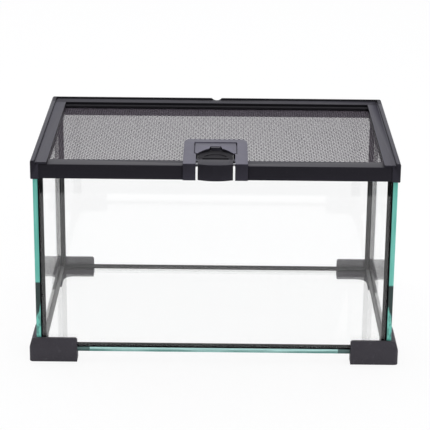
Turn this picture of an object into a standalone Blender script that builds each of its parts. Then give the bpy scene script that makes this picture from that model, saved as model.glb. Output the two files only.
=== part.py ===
"""Small glass terrarium with a sliding screen lid, modelled as separate pieces.

Units are metres, +Z is up and -Y is the front. The origin is on the ground, under the middle of the tank.
"""
import math

import bmesh
import bpy
from mathutils import Matrix, Vector

# Tank
TANK_WIDTH = 0.2980
TANK_DEPTH = 0.1950
GLASS = 0.0040
GLASS_EDGE_BEVEL = 0.0004
WALL_TOP = 0.1665
FRONT_WALL_RISE = 0.0016
FIT_GAP = 0.0003
SEAM_FILM = 0.0004
CORNER_FILLET = 0.0042
FLOOR_FILLET = 0.0026

# Feet
FOOT_BASE = 0.0070
FOOT_HEIGHT = 0.0200
FOOT_LEG = 0.0400
FOOT_WALL_TOP = 0.0026
FOOT_FLARE = 0.0029
FOOT_FLARE_END = 0.0105
FOOT_PAD_WIDTH = 0.0125
FOOT_PAD_FILLET = 0.0100
FOOT_CORNER_RADIUS = 0.0032
FOOT_END_RADIUS = 0.0020

# Top frame
RIM_WALL = 0.0012
REAR_RIM_WALL = 0.0022
RIM_SKIRT = 0.0065
RIM_INNER_SKIRT = 0.0009
RIM_WEB = 0.0014
RIM_FLAT_THICKNESS = 0.0016
RIM_RIDGE_RISE = 0.0012
RIM_RIDGE_WIDTH = 0.0038
RIM_GROOVE_WIDTH = 0.0010
RIM_GROOVE_DEPTH = 0.0007
RIM_FLANGE_REACH = 0.0066
RIM_FRONT_OVERHANG = 0.0025
RIM_FRONT_WALL = 0.0022
REAR_RIB_WIDTH = 0.0032
REAR_CHANNEL_WALL = 0.0034
REAR_FLANGE_REACH = 0.0115
REAR_WEB_SETBACK = 0.0034
CABLE_NOTCH_WIDTH = 0.0095
CABLE_NOTCH_DEPTH = 0.0023
CABLE_NOTCH_LENGTH = 0.0120
CABLE_NOTCH_TILT = math.radians(9)
END_NOTCH_SIZE = 0.0014
RIM_CORNER_RADIUS = 0.0040
RIM_LOWER_RADIUS = 0.0008

# Sliding lid
SLIDE_GAP = 0.0004
LID_FRAME_UPPER = 0.0021
LID_WIRE = 0.0004
LID_RETAINER = 0.0008
LID_LIP = 0.0020
LID_FRONT_BAR = 0.0146
LID_REAR_BAR_SHOWS = 0.0055
FASCIA = 0.0016
FASCIA_SETBACK = 0.0005
FASCIA_RISE = 0.0004
LID_EDGE_BEVEL = 0.0005
SCREEN_COLUMNS = 20
SCREEN_ROWS = 13
SCREEN_BITE = 0.0024

# Latch
LATCH_WIDTH = 0.0530
LATCH_DEPTH = 0.0660
LATCH_PROUD = 0.0010
LATCH_TOP_ABOVE_LID = 0.0020
LATCH_CROWN = 0.0018
LATCH_FLAT = 0.0190
LATCH_APRON = 0.0012
LATCH_CORNER_WIDTH = 0.0055
LATCH_CORNER_LENGTH = 0.0120
LATCH_EDGE_RADIUS = 0.0008
LATCH_BLOCK = 0.0190
LATCH_LEDGE = 0.0005
LEVER_WIDTH = 0.0288
LEVER_SLIT = 0.0017
LEVER_OPENING = 0.0120
LEVER_TAIL_GAP = 0.0010
LEVER_WALL = 0.0012
LEVER_BOW = 0.0032
LEVER_RIDGE = 0.0210
LEVER_SLOPE_END = 0.0390
LEVER_LIP_WIDTH = 0.0076
LEVER_LIP_LENGTH = 0.0032
LEVER_LIP_RISE = 0.0016
DISH_WIDTH = 0.0200
DISH_LENGTH = 0.0088
DISH_DEPTH = 0.0006
GRIP_SLOT_WIDTH = 0.0214
GRIP_SLOT_LENGTH = 0.0036
GRIP_SLOT_DEPTH = 0.0006
GRIP_SLOT_SETBACK = 0.0125
PLATE_SINK = 0.0006
PLATE_MARGIN = 0.0012
PLATE_GAP = 0.0006
PLATE_LENGTH = 0.0278
PLATE_REAR_MARGIN = 0.0100
PLATE_CORNER = 0.0022
ARCH_WIDTH = 0.0300
ARCH_DEPTH = 0.0142
ARCH_NOTCH_WIDTH = 0.0112
ARCH_NOTCH_END = 0.0088
ARCH_NOTCH = 0.0062
PIN_RADIUS = 0.0009
PIN_GAP = 0.0003
PIN_SETBACK = 0.0075
PIN_BITE = 0.0040
BOSS_WALL = 0.0007
SPRING_STRIP = 0.0003
SPRING_WIDTH = 0.0060
SPRING_SEAT = 0.0080
SPRING_REACH = 0.0100
SCREW_RADIUS = 0.0010
SCREW_HEAD_RADIUS = 0.0018
SCREW_HEAD = 0.0010
SCREW_SETBACK = 0.0050
SCREW_BITE = 0.0008
STRIKE_WIDTH = 0.0180
STRIKE_HEIGHT = 0.0040
STRIKE = 0.0009
STRIKE_RISE = 0.0014

ARC_STEPS = 6
ROUND_SIDES = 24

# Levels worked out from the sizes above
FLOOR_BOTTOM = FOOT_BASE + FIT_GAP
FLOOR_TOP = FLOOR_BOTTOM + GLASS
SEAM_GAP = SEAM_FILM + 2 * FIT_GAP
WALL_BOTTOM = FLOOR_TOP + SEAM_GAP
RIM_BOTTOM = WALL_TOP - RIM_SKIRT
SEAM_TOP = RIM_BOTTOM - FIT_GAP
FRONT_WALL_TOP = WALL_TOP + FRONT_WALL_RISE
HALF_WIDTH = TANK_WIDTH / 2
HALF_DEPTH = TANK_DEPTH / 2
POCKET_TOP = WALL_TOP + FIT_GAP
CHANNEL_FLOOR = POCKET_TOP + RIM_WEB
LID_BOTTOM = CHANNEL_FLOOR + SLIDE_GAP
SCREEN_BOTTOM = LID_BOTTOM + LID_RETAINER + FIT_GAP
SCREEN_TOP = SCREEN_BOTTOM + LID_WIRE
UPPER_BOTTOM = SCREEN_TOP + FIT_GAP
LID_TOP = UPPER_BOTTOM + LID_FRAME_UPPER
CHANNEL_TOP = LID_TOP + SLIDE_GAP
RIM_FLAT = CHANNEL_TOP + RIM_FLAT_THICKNESS
RIM_TOP = RIM_FLAT + RIM_RIDGE_RISE

# Places in plan, worked out from the sizes above
RIM_HALF_WIDTH = HALF_WIDTH + FIT_GAP + RIM_WALL
RIM_REAR = HALF_DEPTH + FIT_GAP + REAR_RIM_WALL
RIM_FRONT = -HALF_DEPTH - RIM_FRONT_OVERHANG
CHANNEL_HALF = HALF_WIDTH - GLASS - FIT_GAP - RIM_INNER_SKIRT
FLANGE_HALF = CHANNEL_HALF - RIM_FLANGE_REACH
CHANNEL_REAR = RIM_REAR - REAR_CHANNEL_WALL
FLANGE_REAR = CHANNEL_REAR - REAR_FLANGE_REACH
LID_HALF = CHANNEL_HALF - SLIDE_GAP
LID_REAR = CHANNEL_REAR - SLIDE_GAP
LID_INNER_HALF = FLANGE_HALF + FIT_GAP
LID_INNER_REAR = FLANGE_REAR - LID_REAR_BAR_SHOWS
FASCIA_FRONT = RIM_FRONT + FASCIA_SETBACK
BAR_FRONT = FASCIA_FRONT + FASCIA
BAR_REAR = FASCIA_FRONT + LID_FRONT_BAR

# The latch, worked out from the sizes above
LATCH_FRONT = RIM_FRONT - LATCH_PROUD
LATCH_REAR = LATCH_FRONT + LATCH_DEPTH
LATCH_HALF = LATCH_WIDTH / 2
LATCH_TOP = LID_TOP + LATCH_TOP_ABOVE_LID
LATCH_CROWN_TOP = LATCH_TOP + LATCH_CROWN
LATCH_FOOT = LID_TOP + FIT_GAP
LATCH_BLOCK_FRONT = LATCH_REAR - LATCH_BLOCK
SLOT_HALF = LEVER_WIDTH / 2 + LEVER_SLIT
PLATE_HALF = SLOT_HALF + PLATE_MARGIN
PLATE_REAR = LATCH_REAR - PLATE_REAR_MARGIN
PLATE_FRONT = PLATE_REAR - PLATE_LENGTH
PLATE_BOTTOM = LATCH_TOP - PLATE_SINK
PIN_Y = BAR_FRONT + PIN_SETBACK
BOSS_RADIUS = PIN_RADIUS + PIN_GAP + BOSS_WALL
PIN_Z = LID_BOTTOM + PIN_RADIUS + PIN_GAP + BOSS_WALL + FIT_GAP + FIT_GAP
LEVER_REAR = LATCH_BLOCK_FRONT - LEVER_TAIL_GAP
FASCIA_BOTTOM = RIM_BOTTOM + FASCIA_RISE
SKIRT_BACK = LATCH_FRONT + LEVER_WALL

COLLECTION = "terrarium"


def clear_scene():
    """Remove every object that the file opened with."""
    for item in list(bpy.data.objects):
        bpy.data.objects.remove(item, do_unlink=True)


def make_collection(name, hidden=False):
    """Make a collection under the scene's own."""
    group = bpy.data.collections.new(name)
    bpy.context.scene.collection.children.link(group)
    group.hide_render = hidden
    return group


def finish(name, colour, roughness, metallic=0.0, alpha=1.0, transmission=0.0):
    """Make a plain Principled material."""
    material = bpy.data.materials.new(name)
    material.use_nodes = True
    shader = material.node_tree.nodes["Principled BSDF"]
    shader.inputs["Base Color"].default_value = (*colour, 1.0)
    shader.inputs["Roughness"].default_value = roughness
    shader.inputs["Metallic"].default_value = metallic
    shader.inputs["Alpha"].default_value = alpha
    shader.inputs["Transmission Weight"].default_value = transmission
    return material


def add_mesh(name, mesh, group, material=None, parent=None):
    """Link a mesh as a named object."""
    item = bpy.data.objects.new(name, mesh)
    group.objects.link(item)
    if material:
        mesh.materials.clear()
        mesh.materials.append(material)
    if parent:
        item.parent = parent
        item.matrix_parent_inverse = parent.matrix_world.inverted()
    return item


def box_mesh(name, low, high):
    """A box between two corners, as a mesh in world coordinates."""
    low = Vector(low)
    high = Vector(high)
    size = high - low
    shape = bmesh.new()
    place = Matrix.Translation((low + high) / 2) @ Matrix.Diagonal((*size, 1.0))
    bmesh.ops.create_cube(shape, size=1.0, matrix=place)
    mesh = bpy.data.meshes.new(name)
    shape.to_mesh(mesh)
    shape.free()
    return mesh


def extruded_mesh(name, outline, length, place):
    """A flat outline made into a solid bar, centred on its plane, and moved to its place."""
    curve = bpy.data.curves.new(name, "CURVE")
    curve.dimensions = "2D"
    curve.fill_mode = "BOTH"
    curve.extrude = length / 2
    spline = curve.splines.new("POLY")
    spline.points.add(len(outline) - 1)
    for point, (across, up) in zip(spline.points, outline):
        point.co = (across, up, 0.0, 1.0)
    spline.use_cyclic_u = True
    guide = bpy.data.objects.new(name, curve)
    bpy.context.scene.collection.objects.link(guide)
    bpy.context.view_layer.update()
    depsgraph = bpy.context.evaluated_depsgraph_get()
    mesh = bpy.data.meshes.new_from_object(guide.evaluated_get(depsgraph))
    bpy.data.objects.remove(guide, do_unlink=True)
    bpy.data.curves.remove(curve)
    shape = bmesh.new()
    shape.from_mesh(mesh)
    bmesh.ops.remove_doubles(shape, verts=shape.verts, dist=1e-6)
    bmesh.ops.recalc_face_normals(shape, faces=shape.faces)
    bmesh.ops.transform(shape, matrix=place, verts=shape.verts)
    shape.to_mesh(mesh)
    shape.free()
    mesh.name = name
    return mesh


def along_x(start, end):
    """Place an outline drawn in (y, z) so that it runs from one x to another."""
    turn = Matrix(((0, 0, 1, 0), (1, 0, 0, 0), (0, 1, 0, 0), (0, 0, 0, 1)))
    return Matrix.Translation(((start + end) / 2, 0, 0)) @ turn


def along_y(start, end):
    """Place an outline drawn in (x, z) so that it runs from one y to another."""
    turn = Matrix(((1, 0, 0, 0), (0, 0, -1, 0), (0, 1, 0, 0), (0, 0, 0, 1)))
    return Matrix.Translation((0, (start + end) / 2, 0)) @ turn


def along_z(start, end):
    """Place an outline drawn in (x, y) so that it runs from one z to another."""
    return Matrix.Translation((0, 0, (start + end) / 2))


def bar_x(name, outline, start, end):
    """A bar along X with an outline in (y, z)."""
    return extruded_mesh(name, outline, end - start, along_x(start, end))


def bar_y(name, outline, start, end):
    """A bar along Y with an outline in (x, z)."""
    return extruded_mesh(name, outline, end - start, along_y(start, end))


def bar_z(name, outline, start, end):
    """A plate or post along Z with an outline in (x, y)."""
    return extruded_mesh(name, outline, end - start, along_z(start, end))


def round_mesh(name, radius, start, end, axis):
    """A round bar along an axis, from one point to another."""
    start = Vector(start)
    end = Vector(end)
    turn = Matrix.Rotation(math.pi / 2, 4, "Y") if axis == "X" else Matrix.Identity(4)
    shape = bmesh.new()
    bmesh.ops.create_cone(shape, cap_ends=True, segments=ROUND_SIDES, radius1=radius, radius2=radius,
                          depth=(end - start).length, matrix=Matrix.Translation((start + end) / 2) @ turn)
    mesh = bpy.data.meshes.new(name)
    shape.to_mesh(mesh)
    shape.free()
    return mesh


def arc(centre, radius, start, end, steps=ARC_STEPS):
    """Points along an arc, both ends included; angles in degrees."""
    points = []
    for step in range(steps + 1):
        angle = math.radians(start + (end - start) * step / steps)
        points.append((centre[0] + radius * math.cos(angle), centre[1] + radius * math.sin(angle)))
    return points


def combine(item, mesh, operation, cutters):
    """Cut, join or trim an object with a mesh."""
    tool = add_mesh(f"{item.name}_{operation.lower()}_{len(item.modifiers)}", mesh, cutters)
    tool.hide_render = True
    tool.display_type = "WIRE"
    step = item.modifiers.new(tool.name, "BOOLEAN")
    step.operation = operation
    step.solver = "EXACT"
    step.object = tool
    return item


def soften(item, width, segments=2, angle=40):
    """Round the sharp edges of an object."""
    step = item.modifiers.new("rounded edges", "BEVEL")
    step.width = width
    step.segments = segments
    step.limit_method = "ANGLE"
    step.angle_limit = math.radians(angle)
    step.use_clamp_overlap = True
    return item


def smooth(item, angle=35):
    """Shade a round piece smooth, with its corners kept sharp."""
    item.data.shade_smooth()
    item.data.set_sharp_from_angle(angle=math.radians(angle))
    return item


def make_empty(name, location, group, parent=None):
    """An empty on a joint's axis."""
    item = bpy.data.objects.new(name, None)
    group.objects.link(item)
    item.location = location
    bpy.context.view_layer.update()
    if parent:
        item.parent = parent
        item.matrix_parent_inverse = parent.matrix_world.inverted()
        bpy.context.view_layer.update()
    return item


def make_finishes():
    """The materials of the terrarium."""
    return {
        "glass": finish("clear glass", (0.80, 0.93, 0.90), 0.03, alpha=0.25, transmission=1.0),
        "silicone": finish("black silicone", (0.012, 0.012, 0.013), 0.45),
        "plastic": finish("black plastic", (0.030, 0.029, 0.033), 0.42),
        "foot": finish("grained plastic", (0.050, 0.048, 0.052), 0.55),
        "wire": finish("grey wire", (0.23, 0.23, 0.25), 0.45, metallic=0.6),
        "steel": finish("steel", (0.55, 0.56, 0.58), 0.30, metallic=1.0),
    }


def add_glass(group, finishes):
    """Five panes: the side panes run the full depth, the front and rear panes stand between them."""
    between = HALF_WIDTH - GLASS - SEAM_GAP
    panes = {
        "floor_pane": ((-HALF_WIDTH, -HALF_DEPTH, FLOOR_BOTTOM), (HALF_WIDTH, HALF_DEPTH, FLOOR_TOP)),
        "left_pane": ((-HALF_WIDTH, -HALF_DEPTH, WALL_BOTTOM), (GLASS - HALF_WIDTH, HALF_DEPTH, WALL_TOP)),
        "right_pane": ((HALF_WIDTH - GLASS, -HALF_DEPTH, WALL_BOTTOM), (HALF_WIDTH, HALF_DEPTH, WALL_TOP)),
        "front_pane": ((-between, -HALF_DEPTH, WALL_BOTTOM), (between, GLASS - HALF_DEPTH, FRONT_WALL_TOP)),
        "rear_pane": ((-between, HALF_DEPTH - GLASS, WALL_BOTTOM), (between, HALF_DEPTH, WALL_TOP)),
    }
    for name, (low, high) in panes.items():
        pane = add_mesh(name, box_mesh(name, low, high), group, finishes["glass"])
        soften(pane, GLASS_EDGE_BEVEL, segments=1)


def corner_seam_outline(side, end):
    """A film between two panes and the hollow fillet inside the corner, in plan."""
    wall = HALF_WIDTH - GLASS - FIT_GAP
    film = wall - SEAM_FILM
    face = HALF_DEPTH - GLASS - FIT_GAP
    hollow = arc((wall - CORNER_FILLET, face - CORNER_FILLET), CORNER_FILLET, 90, 0)
    outline = [(wall, HALF_DEPTH), (film, HALF_DEPTH), (film, face)] + hollow
    return [(side * x, end * y) for x, y in outline]


def add_seams(group, finishes):
    """Silicone in the four corners and along the four floor edges."""
    for end, end_name in ((-1, "front"), (1, "rear")):
        for side, side_name in ((-1, "left"), (1, "right")):
            name = f"corner_seam_{end_name}_{side_name}"
            mesh = bar_z(name, corner_seam_outline(side, end), FLOOR_TOP + FIT_GAP, SEAM_TOP)
            smooth(add_mesh(name, mesh, group, finishes["silicone"]))
    film_low = FLOOR_TOP + FIT_GAP
    film_high = film_low + SEAM_FILM
    reach = HALF_WIDTH - GLASS - FIT_GAP - CORNER_FILLET - FIT_GAP
    for end, end_name in ((-1, "front"), (1, "rear")):
        face = HALF_DEPTH - GLASS - FIT_GAP
        name = f"floor_seam_{end_name}"
        outline = floor_seam_outline(HALF_DEPTH, face, film_low, film_high)
        mesh = bar_x(name, [(end * y, z) for y, z in outline], -reach, reach)
        smooth(add_mesh(name, mesh, group, finishes["silicone"]))
    reach = HALF_DEPTH - GLASS - FIT_GAP - CORNER_FILLET - FIT_GAP
    for side, side_name in ((-1, "left"), (1, "right")):
        face = HALF_WIDTH - GLASS - FIT_GAP
        name = f"floor_seam_{side_name}"
        outline = floor_seam_outline(HALF_WIDTH, face, film_low, film_high)
        mesh = bar_y(name, [(side * x, z) for x, z in outline], -reach, reach)
        smooth(add_mesh(name, mesh, group, finishes["silicone"]))


def floor_seam_outline(outer, face, low, high):
    """The film under a wall pane and the hollow fillet above the floor."""
    centre = (face - FLOOR_FILLET, low + FLOOR_FILLET)
    hollow = arc(centre, FLOOR_FILLET, 0, -90)
    return [(outer, low), (outer, high), (face, high)] + hollow


def foot_profile():
    """A foot's outline from the side: flared outer face on the left, rounded end on the right."""
    outer = -(FIT_GAP + FOOT_WALL_TOP + FOOT_FLARE)
    top = outer + FOOT_FLARE
    end = outer + FOOT_LEG
    flare = []
    for step in range(ARC_STEPS + 1):
        share = step / ARC_STEPS
        height = FOOT_FLARE_END + (FOOT_HEIGHT - FOOT_FLARE_END) * share
        flare.append((outer + (top - outer) * (1 - math.cos(share * math.pi / 2)), height))
    corner = arc((end - FOOT_END_RADIUS, FOOT_HEIGHT - FOOT_END_RADIUS), FOOT_END_RADIUS, 90, 0)
    return [(outer, 0.0)] + flare + corner + [(end, 0.0)]


def foot_plan():
    """A foot's outline from above: an L with a rounded outer corner and a hollow inner one."""
    outer = -(FIT_GAP + FOOT_WALL_TOP + FOOT_FLARE)
    end = outer + FOOT_LEG
    pad = outer + FOOT_PAD_WIDTH
    radius = FOOT_CORNER_RADIUS
    fillet = pad + FOOT_PAD_FILLET
    corner = arc((outer + radius, outer + radius), radius, 270, 180)
    hollow = arc((fillet, fillet), FOOT_PAD_FILLET, 180, 270)
    return [(end, outer)] + corner + [(outer, end), (pad, end)] + hollow + [(end, pad)]


def add_feet(group, cutters, finishes):
    """Four corner feet that cup the tank's bottom corners."""
    margin = 0.010
    profile = foot_profile()
    span = (profile[0][0] - margin, FOOT_LEG + margin)
    quarter = {"front_left": 0, "front_right": 1, "rear_right": 2, "rear_left": 3}
    corners = {
        "front_left": (-HALF_WIDTH, -HALF_DEPTH),
        "front_right": (HALF_WIDTH, -HALF_DEPTH),
        "rear_right": (HALF_WIDTH, HALF_DEPTH),
        "rear_left": (-HALF_WIDTH, HALF_DEPTH),
    }
    for place, turns in quarter.items():
        turn = Matrix.Translation((*corners[place], 0)) @ Matrix.Rotation(turns * math.pi / 2, 4, "Z")
        name = f"foot_{place}"
        foot = add_mesh(name, bar_y(name, profile, *span), group, finishes["foot"])
        foot.matrix_world = turn
        far = span[1] + margin
        glass_space = box_mesh(name, (-FIT_GAP, -FIT_GAP, FOOT_BASE), (far, far, FOOT_HEIGHT + margin))
        for operation, mesh in (
            ("INTERSECT", bar_x(name, profile, *span)),
            ("INTERSECT", bar_z(name, foot_plan(), -margin, FOOT_HEIGHT + margin)),
            ("DIFFERENCE", glass_space),
        ):
            mesh.transform(turn)
            combine(foot, mesh, operation, cutters)
        smooth(foot, angle=25)


def rounded_top_outline(low, high):
    """The frame's outer outline between two sides, with its corners rounded."""
    rise = RIM_RIDGE_RISE
    lower = RIM_LOWER_RADIUS
    points = arc((low + lower, RIM_BOTTOM + lower), lower, 180, 270)
    points += arc((high - lower, RIM_BOTTOM + lower), lower, 270, 360)
    points += arc((high - rise, RIM_TOP - rise), rise, 0, 90)
    points += arc((low + rise, RIM_TOP - rise), rise, 90, 180)
    return points


def frame_cuts():
    """The boxes cut from the top frame: opening, channel, webs, pane pockets, flats and grooves."""
    beyond = RIM_WEB
    front = RIM_FRONT - beyond
    below = RIM_BOTTOM - beyond
    above = RIM_TOP + beyond
    inner = HALF_WIDTH - GLASS - FIT_GAP
    outer = HALF_WIDTH + FIT_GAP
    rear_inner = HALF_DEPTH - GLASS - FIT_GAP
    rear_outer = HALF_DEPTH + FIT_GAP
    between = HALF_WIDTH - GLASS - SEAM_FILM - FIT_GAP
    ridge = RIM_HALF_WIDTH - RIM_RIDGE_WIDTH
    rib = RIM_REAR - REAR_RIB_WIDTH
    cuts = {
        "opening": ((-FLANGE_HALF, front, below), (FLANGE_HALF, FLANGE_REAR, above)),
        "channel": ((-CHANNEL_HALF, front, CHANNEL_FLOOR), (CHANNEL_HALF, CHANNEL_REAR, CHANNEL_TOP)),
        "fascia_room": ((-CHANNEL_HALF, front, below),
                        (CHANNEL_HALF, BAR_FRONT + SLIDE_GAP, CHANNEL_TOP)),
        "rear_web": ((-FLANGE_HALF + beyond, FLANGE_REAR - beyond, below),
                     (FLANGE_HALF - beyond, FLANGE_REAR + REAR_WEB_SETBACK, CHANNEL_FLOOR + SLIDE_GAP)),
        "underside": ((-CHANNEL_HALF, front, below),
                      (CHANNEL_HALF, rear_inner - RIM_INNER_SKIRT, POCKET_TOP)),
        "left_pocket": ((-outer, RIM_FRONT + RIM_FRONT_WALL, below), (-inner, rear_outer, POCKET_TOP)),
        "right_pocket": ((inner, RIM_FRONT + RIM_FRONT_WALL, below), (outer, rear_outer, POCKET_TOP)),
        "rear_pocket": ((-outer, rear_inner, below), (outer, rear_outer, POCKET_TOP)),
        "front_pocket": ((-between, -rear_outer, below), (between, -rear_inner, FRONT_WALL_TOP + FIT_GAP)),
        "flats": ((-ridge, front, RIM_FLAT), (ridge, rib, above)),
    }
    for side, name in ((-1, "left_groove"), (1, "right_groove")):
        near = side * (ridge - RIM_GROOVE_WIDTH)
        far = side * ridge
        cuts[name] = ((min(near, far), front, RIM_FLAT - RIM_GROOVE_DEPTH), (max(near, far), rib, above))
    return cuts


def add_top_frame(group, cutters, finishes):
    """The moulded frame that caps the side and rear panes and carries the lid."""
    across = rounded_top_outline(-RIM_HALF_WIDTH, RIM_HALF_WIDTH)
    along = rounded_top_outline(RIM_FRONT - RIM_FRONT_WALL, RIM_REAR)
    frame = add_mesh("top_frame", bar_y("top_frame", across, RIM_FRONT, RIM_REAR + RIM_WEB), group,
                     finishes["plastic"])
    reach = RIM_HALF_WIDTH + RIM_WEB
    combine(frame, bar_x("frame_rear", along, -reach, reach), "INTERSECT", cutters)
    combine(frame, bar_z("frame_plan", frame_plan(), RIM_BOTTOM - RIM_WEB, RIM_TOP + RIM_WEB), "INTERSECT",
            cutters)
    for name, (low, high) in frame_cuts().items():
        combine(frame, box_mesh(name, low, high), "DIFFERENCE", cutters)
    combine(frame, cable_notch_mesh(), "DIFFERENCE", cutters)
    for side in (-1, 1):
        combine(frame, end_notch_mesh(side), "DIFFERENCE", cutters)
    smooth(frame, angle=30)


def frame_plan():
    """The top frame from above, with its two rear corners rounded."""
    radius = RIM_CORNER_RADIUS
    front = RIM_FRONT - RIM_WEB
    right = arc((RIM_HALF_WIDTH - radius, RIM_REAR - radius), radius, 0, 90)
    left = [(-x, y) for x, y in reversed(right)]
    return [(RIM_HALF_WIDTH, front)] + right + left + [(-RIM_HALF_WIDTH, front)]


def cable_notch_mesh():
    """A round trough through the rear rib that rises on to the flat behind the lid."""
    half = CABLE_NOTCH_WIDTH / 2
    radius = (half ** 2 + CABLE_NOTCH_DEPTH ** 2) / (2 * CABLE_NOTCH_DEPTH)
    shape = bmesh.new()
    turn = Matrix.Rotation(math.pi / 2 - CABLE_NOTCH_TILT, 4, "X")
    place = Matrix.Translation((0, RIM_REAR, RIM_TOP - CABLE_NOTCH_DEPTH + radius))
    bmesh.ops.create_cone(shape, cap_ends=True, segments=2 * ROUND_SIDES, radius1=radius, radius2=radius,
                          depth=2 * CABLE_NOTCH_LENGTH, matrix=place @ turn)
    mesh = bpy.data.meshes.new("cable_notch")
    shape.to_mesh(mesh)
    shape.free()
    return mesh


def end_notch_mesh(side):
    """A small V cut where the side rail's groove ends at the front."""
    centre = side * (RIM_HALF_WIDTH - RIM_RIDGE_WIDTH - RIM_GROOVE_WIDTH / 2)
    size = END_NOTCH_SIZE
    outline = [(centre - size, RIM_TOP), (centre, RIM_FLAT - 2 * size), (centre + size, RIM_TOP)]
    return bar_y("end_notch", outline, RIM_FRONT - size, RIM_FRONT + size)


def add_strike(group, finishes):
    """The small strike on the front pane that the lever's rib meets."""
    back = -HALF_DEPTH - FIT_GAP
    low = FASCIA_BOTTOM + STRIKE_RISE
    mesh = box_mesh("latch_strike", (-STRIKE_WIDTH / 2, back - STRIKE, low),
                    (STRIKE_WIDTH / 2, back, low + STRIKE_HEIGHT))
    soften(add_mesh("latch_strike", mesh, group, finishes["plastic"]), GLASS_EDGE_BEVEL, segments=1)


def add_lid_frame(group, cutters, finishes, slide):
    """The sliding frame: side and rear bars in the rails' channels and a front bar with its fascia."""
    radius = LID_EDGE_BEVEL
    outline = [(LID_REAR, LID_BOTTOM), (LID_REAR, LID_TOP)]
    outline += arc((FASCIA_FRONT + radius, LID_TOP - radius), radius, 90, 180)
    outline += arc((FASCIA_FRONT + radius, FASCIA_BOTTOM + radius), radius, 180, 270)
    outline += [(BAR_FRONT, FASCIA_BOTTOM), (BAR_FRONT, LID_BOTTOM)]
    frame = add_mesh("lid_frame", bar_x("lid_frame", outline, -LID_HALF, LID_HALF), group,
                     finishes["plastic"], slide)
    inner_low = (-LID_INNER_HALF, BAR_REAR, LID_BOTTOM - RIM_WEB)
    inner_high = (LID_INNER_HALF, LID_INNER_REAR, LID_TOP + RIM_WEB)
    combine(frame, box_mesh("screen_window", inner_low, inner_high), "DIFFERENCE", cutters)
    lip = LID_LIP
    rabbet_low = (-LID_HALF + lip, BAR_REAR - SCREEN_BITE - FIT_GAP, LID_BOTTOM - RIM_WEB)
    rabbet_high = (LID_HALF - lip, LID_REAR - lip, UPPER_BOTTOM)
    combine(frame, box_mesh("screen_rabbet", rabbet_low, rabbet_high), "DIFFERENCE", cutters)
    return frame


def screen_span():
    """The screen's half width, front and rear, inside the frame's rabbet."""
    half = LID_HALF - LID_LIP - FIT_GAP
    front = BAR_REAR - SCREEN_BITE
    rear = LID_REAR - LID_LIP - FIT_GAP
    return half, front, rear


def latch_opening():
    """The hole in the lid's front bar where the lever works: half width, front and rear."""
    return SLOT_HALF, FASCIA_FRONT - RIM_WEB, FASCIA_FRONT + LEVER_OPENING


def cut_for_latch(frame, cutters):
    """Open the front bar for the lever, its pin and the latch's screws."""
    half, front, rear = latch_opening()
    combine(frame, box_mesh("lever_opening", (-half, front, FASCIA_BOTTOM - RIM_WEB),
                            (half, rear, LID_TOP + RIM_WEB)), "DIFFERENCE", cutters)
    reach = SLOT_HALF + PIN_BITE + FIT_GAP
    combine(frame, round_mesh("pin_hole", PIN_RADIUS + PIN_GAP, (-reach, PIN_Y, PIN_Z),
                              (reach, PIN_Y, PIN_Z), "X"), "DIFFERENCE", cutters)
    for x, y in screw_places():
        combine(frame, round_mesh("screw_hole", SCREW_RADIUS + FIT_GAP, (x, y, LID_BOTTOM - RIM_WEB),
                                  (x, y, LID_TOP + RIM_WEB), "Z"), "DIFFERENCE", cutters)
        combine(frame, round_mesh("screw_recess", SCREW_HEAD_RADIUS + FIT_GAP, (x, y, LID_BOTTOM - RIM_WEB),
                                  (x, y, LID_BOTTOM + SCREW_HEAD + FIT_GAP), "Z"), "DIFFERENCE", cutters)


def add_screen(group, cutters, finishes, slide):
    """The lid's wire screen as an open net with a solid edge band."""
    half, front, rear = screen_span()
    pitch_x = 2 * LID_INNER_HALF / SCREEN_COLUMNS
    pitch_y = (LID_INNER_REAR - BAR_REAR) / SCREEN_ROWS
    shape = bmesh.new()
    xs = [-half] + wire_edges(-LID_INNER_HALF, pitch_x, SCREEN_COLUMNS) + [half]
    ys = [front] + wire_edges(BAR_REAR, pitch_y, SCREEN_ROWS) + [rear]
    bmesh.ops.create_grid(shape, x_segments=len(xs) - 1, y_segments=len(ys) - 1, size=1.0)
    order_x = sorted({round(vert.co.x, 5) for vert in shape.verts})
    order_y = sorted({round(vert.co.y, 5) for vert in shape.verts})
    for vert in shape.verts:
        column = order_x.index(round(vert.co.x, 5))
        row = order_y.index(round(vert.co.y, 5))
        vert.co = (xs[column], ys[row], SCREEN_BOTTOM)
    gaps = [face for face in shape.faces if is_gap(face, pitch_x, pitch_y)]
    bmesh.ops.delete(shape, geom=gaps, context="FACES_ONLY")
    mesh = bpy.data.meshes.new("lid_screen")
    shape.to_mesh(mesh)
    shape.free()
    screen = add_mesh("lid_screen", mesh, group, finishes["wire"], slide)
    step = screen.modifiers.new("wire thickness", "SOLIDIFY")
    step.thickness = LID_WIRE
    step.offset = 1.0
    return screen


def wire_edges(start, pitch, count):
    """Both edges of each wire along one direction; the outer wires melt into the edge band."""
    edges = []
    for wire in range(count + 1):
        middle = start + wire * pitch
        edges += [middle - LID_WIRE / 2, middle + LID_WIRE / 2]
    return edges


def is_gap(face, pitch_x, pitch_y):
    """Tell a gap of the net from a wire or a crossing."""
    xs = [vert.co.x for vert in face.verts]
    ys = [vert.co.y for vert in face.verts]
    wide = max(xs) - min(xs) > pitch_x / 2
    deep = max(ys) - min(ys) > pitch_y / 2
    return wide and deep


def add_retainer(group, cutters, finishes, slide):
    """The thin ring under the screen that holds it in the lid's frame."""
    half, front, rear = screen_span()
    ring = add_mesh("screen_retainer", box_mesh("screen_retainer", (-half, front, LID_BOTTOM),
                                                (half, rear, LID_BOTTOM + LID_RETAINER)),
                    group, finishes["plastic"], slide)
    window_low = (-LID_INNER_HALF, BAR_REAR, LID_BOTTOM - RIM_WEB)
    window_high = (LID_INNER_HALF, LID_INNER_REAR, LID_TOP)
    combine(ring, box_mesh("retainer_window", window_low, window_high), "DIFFERENCE", cutters)
    return ring


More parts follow.
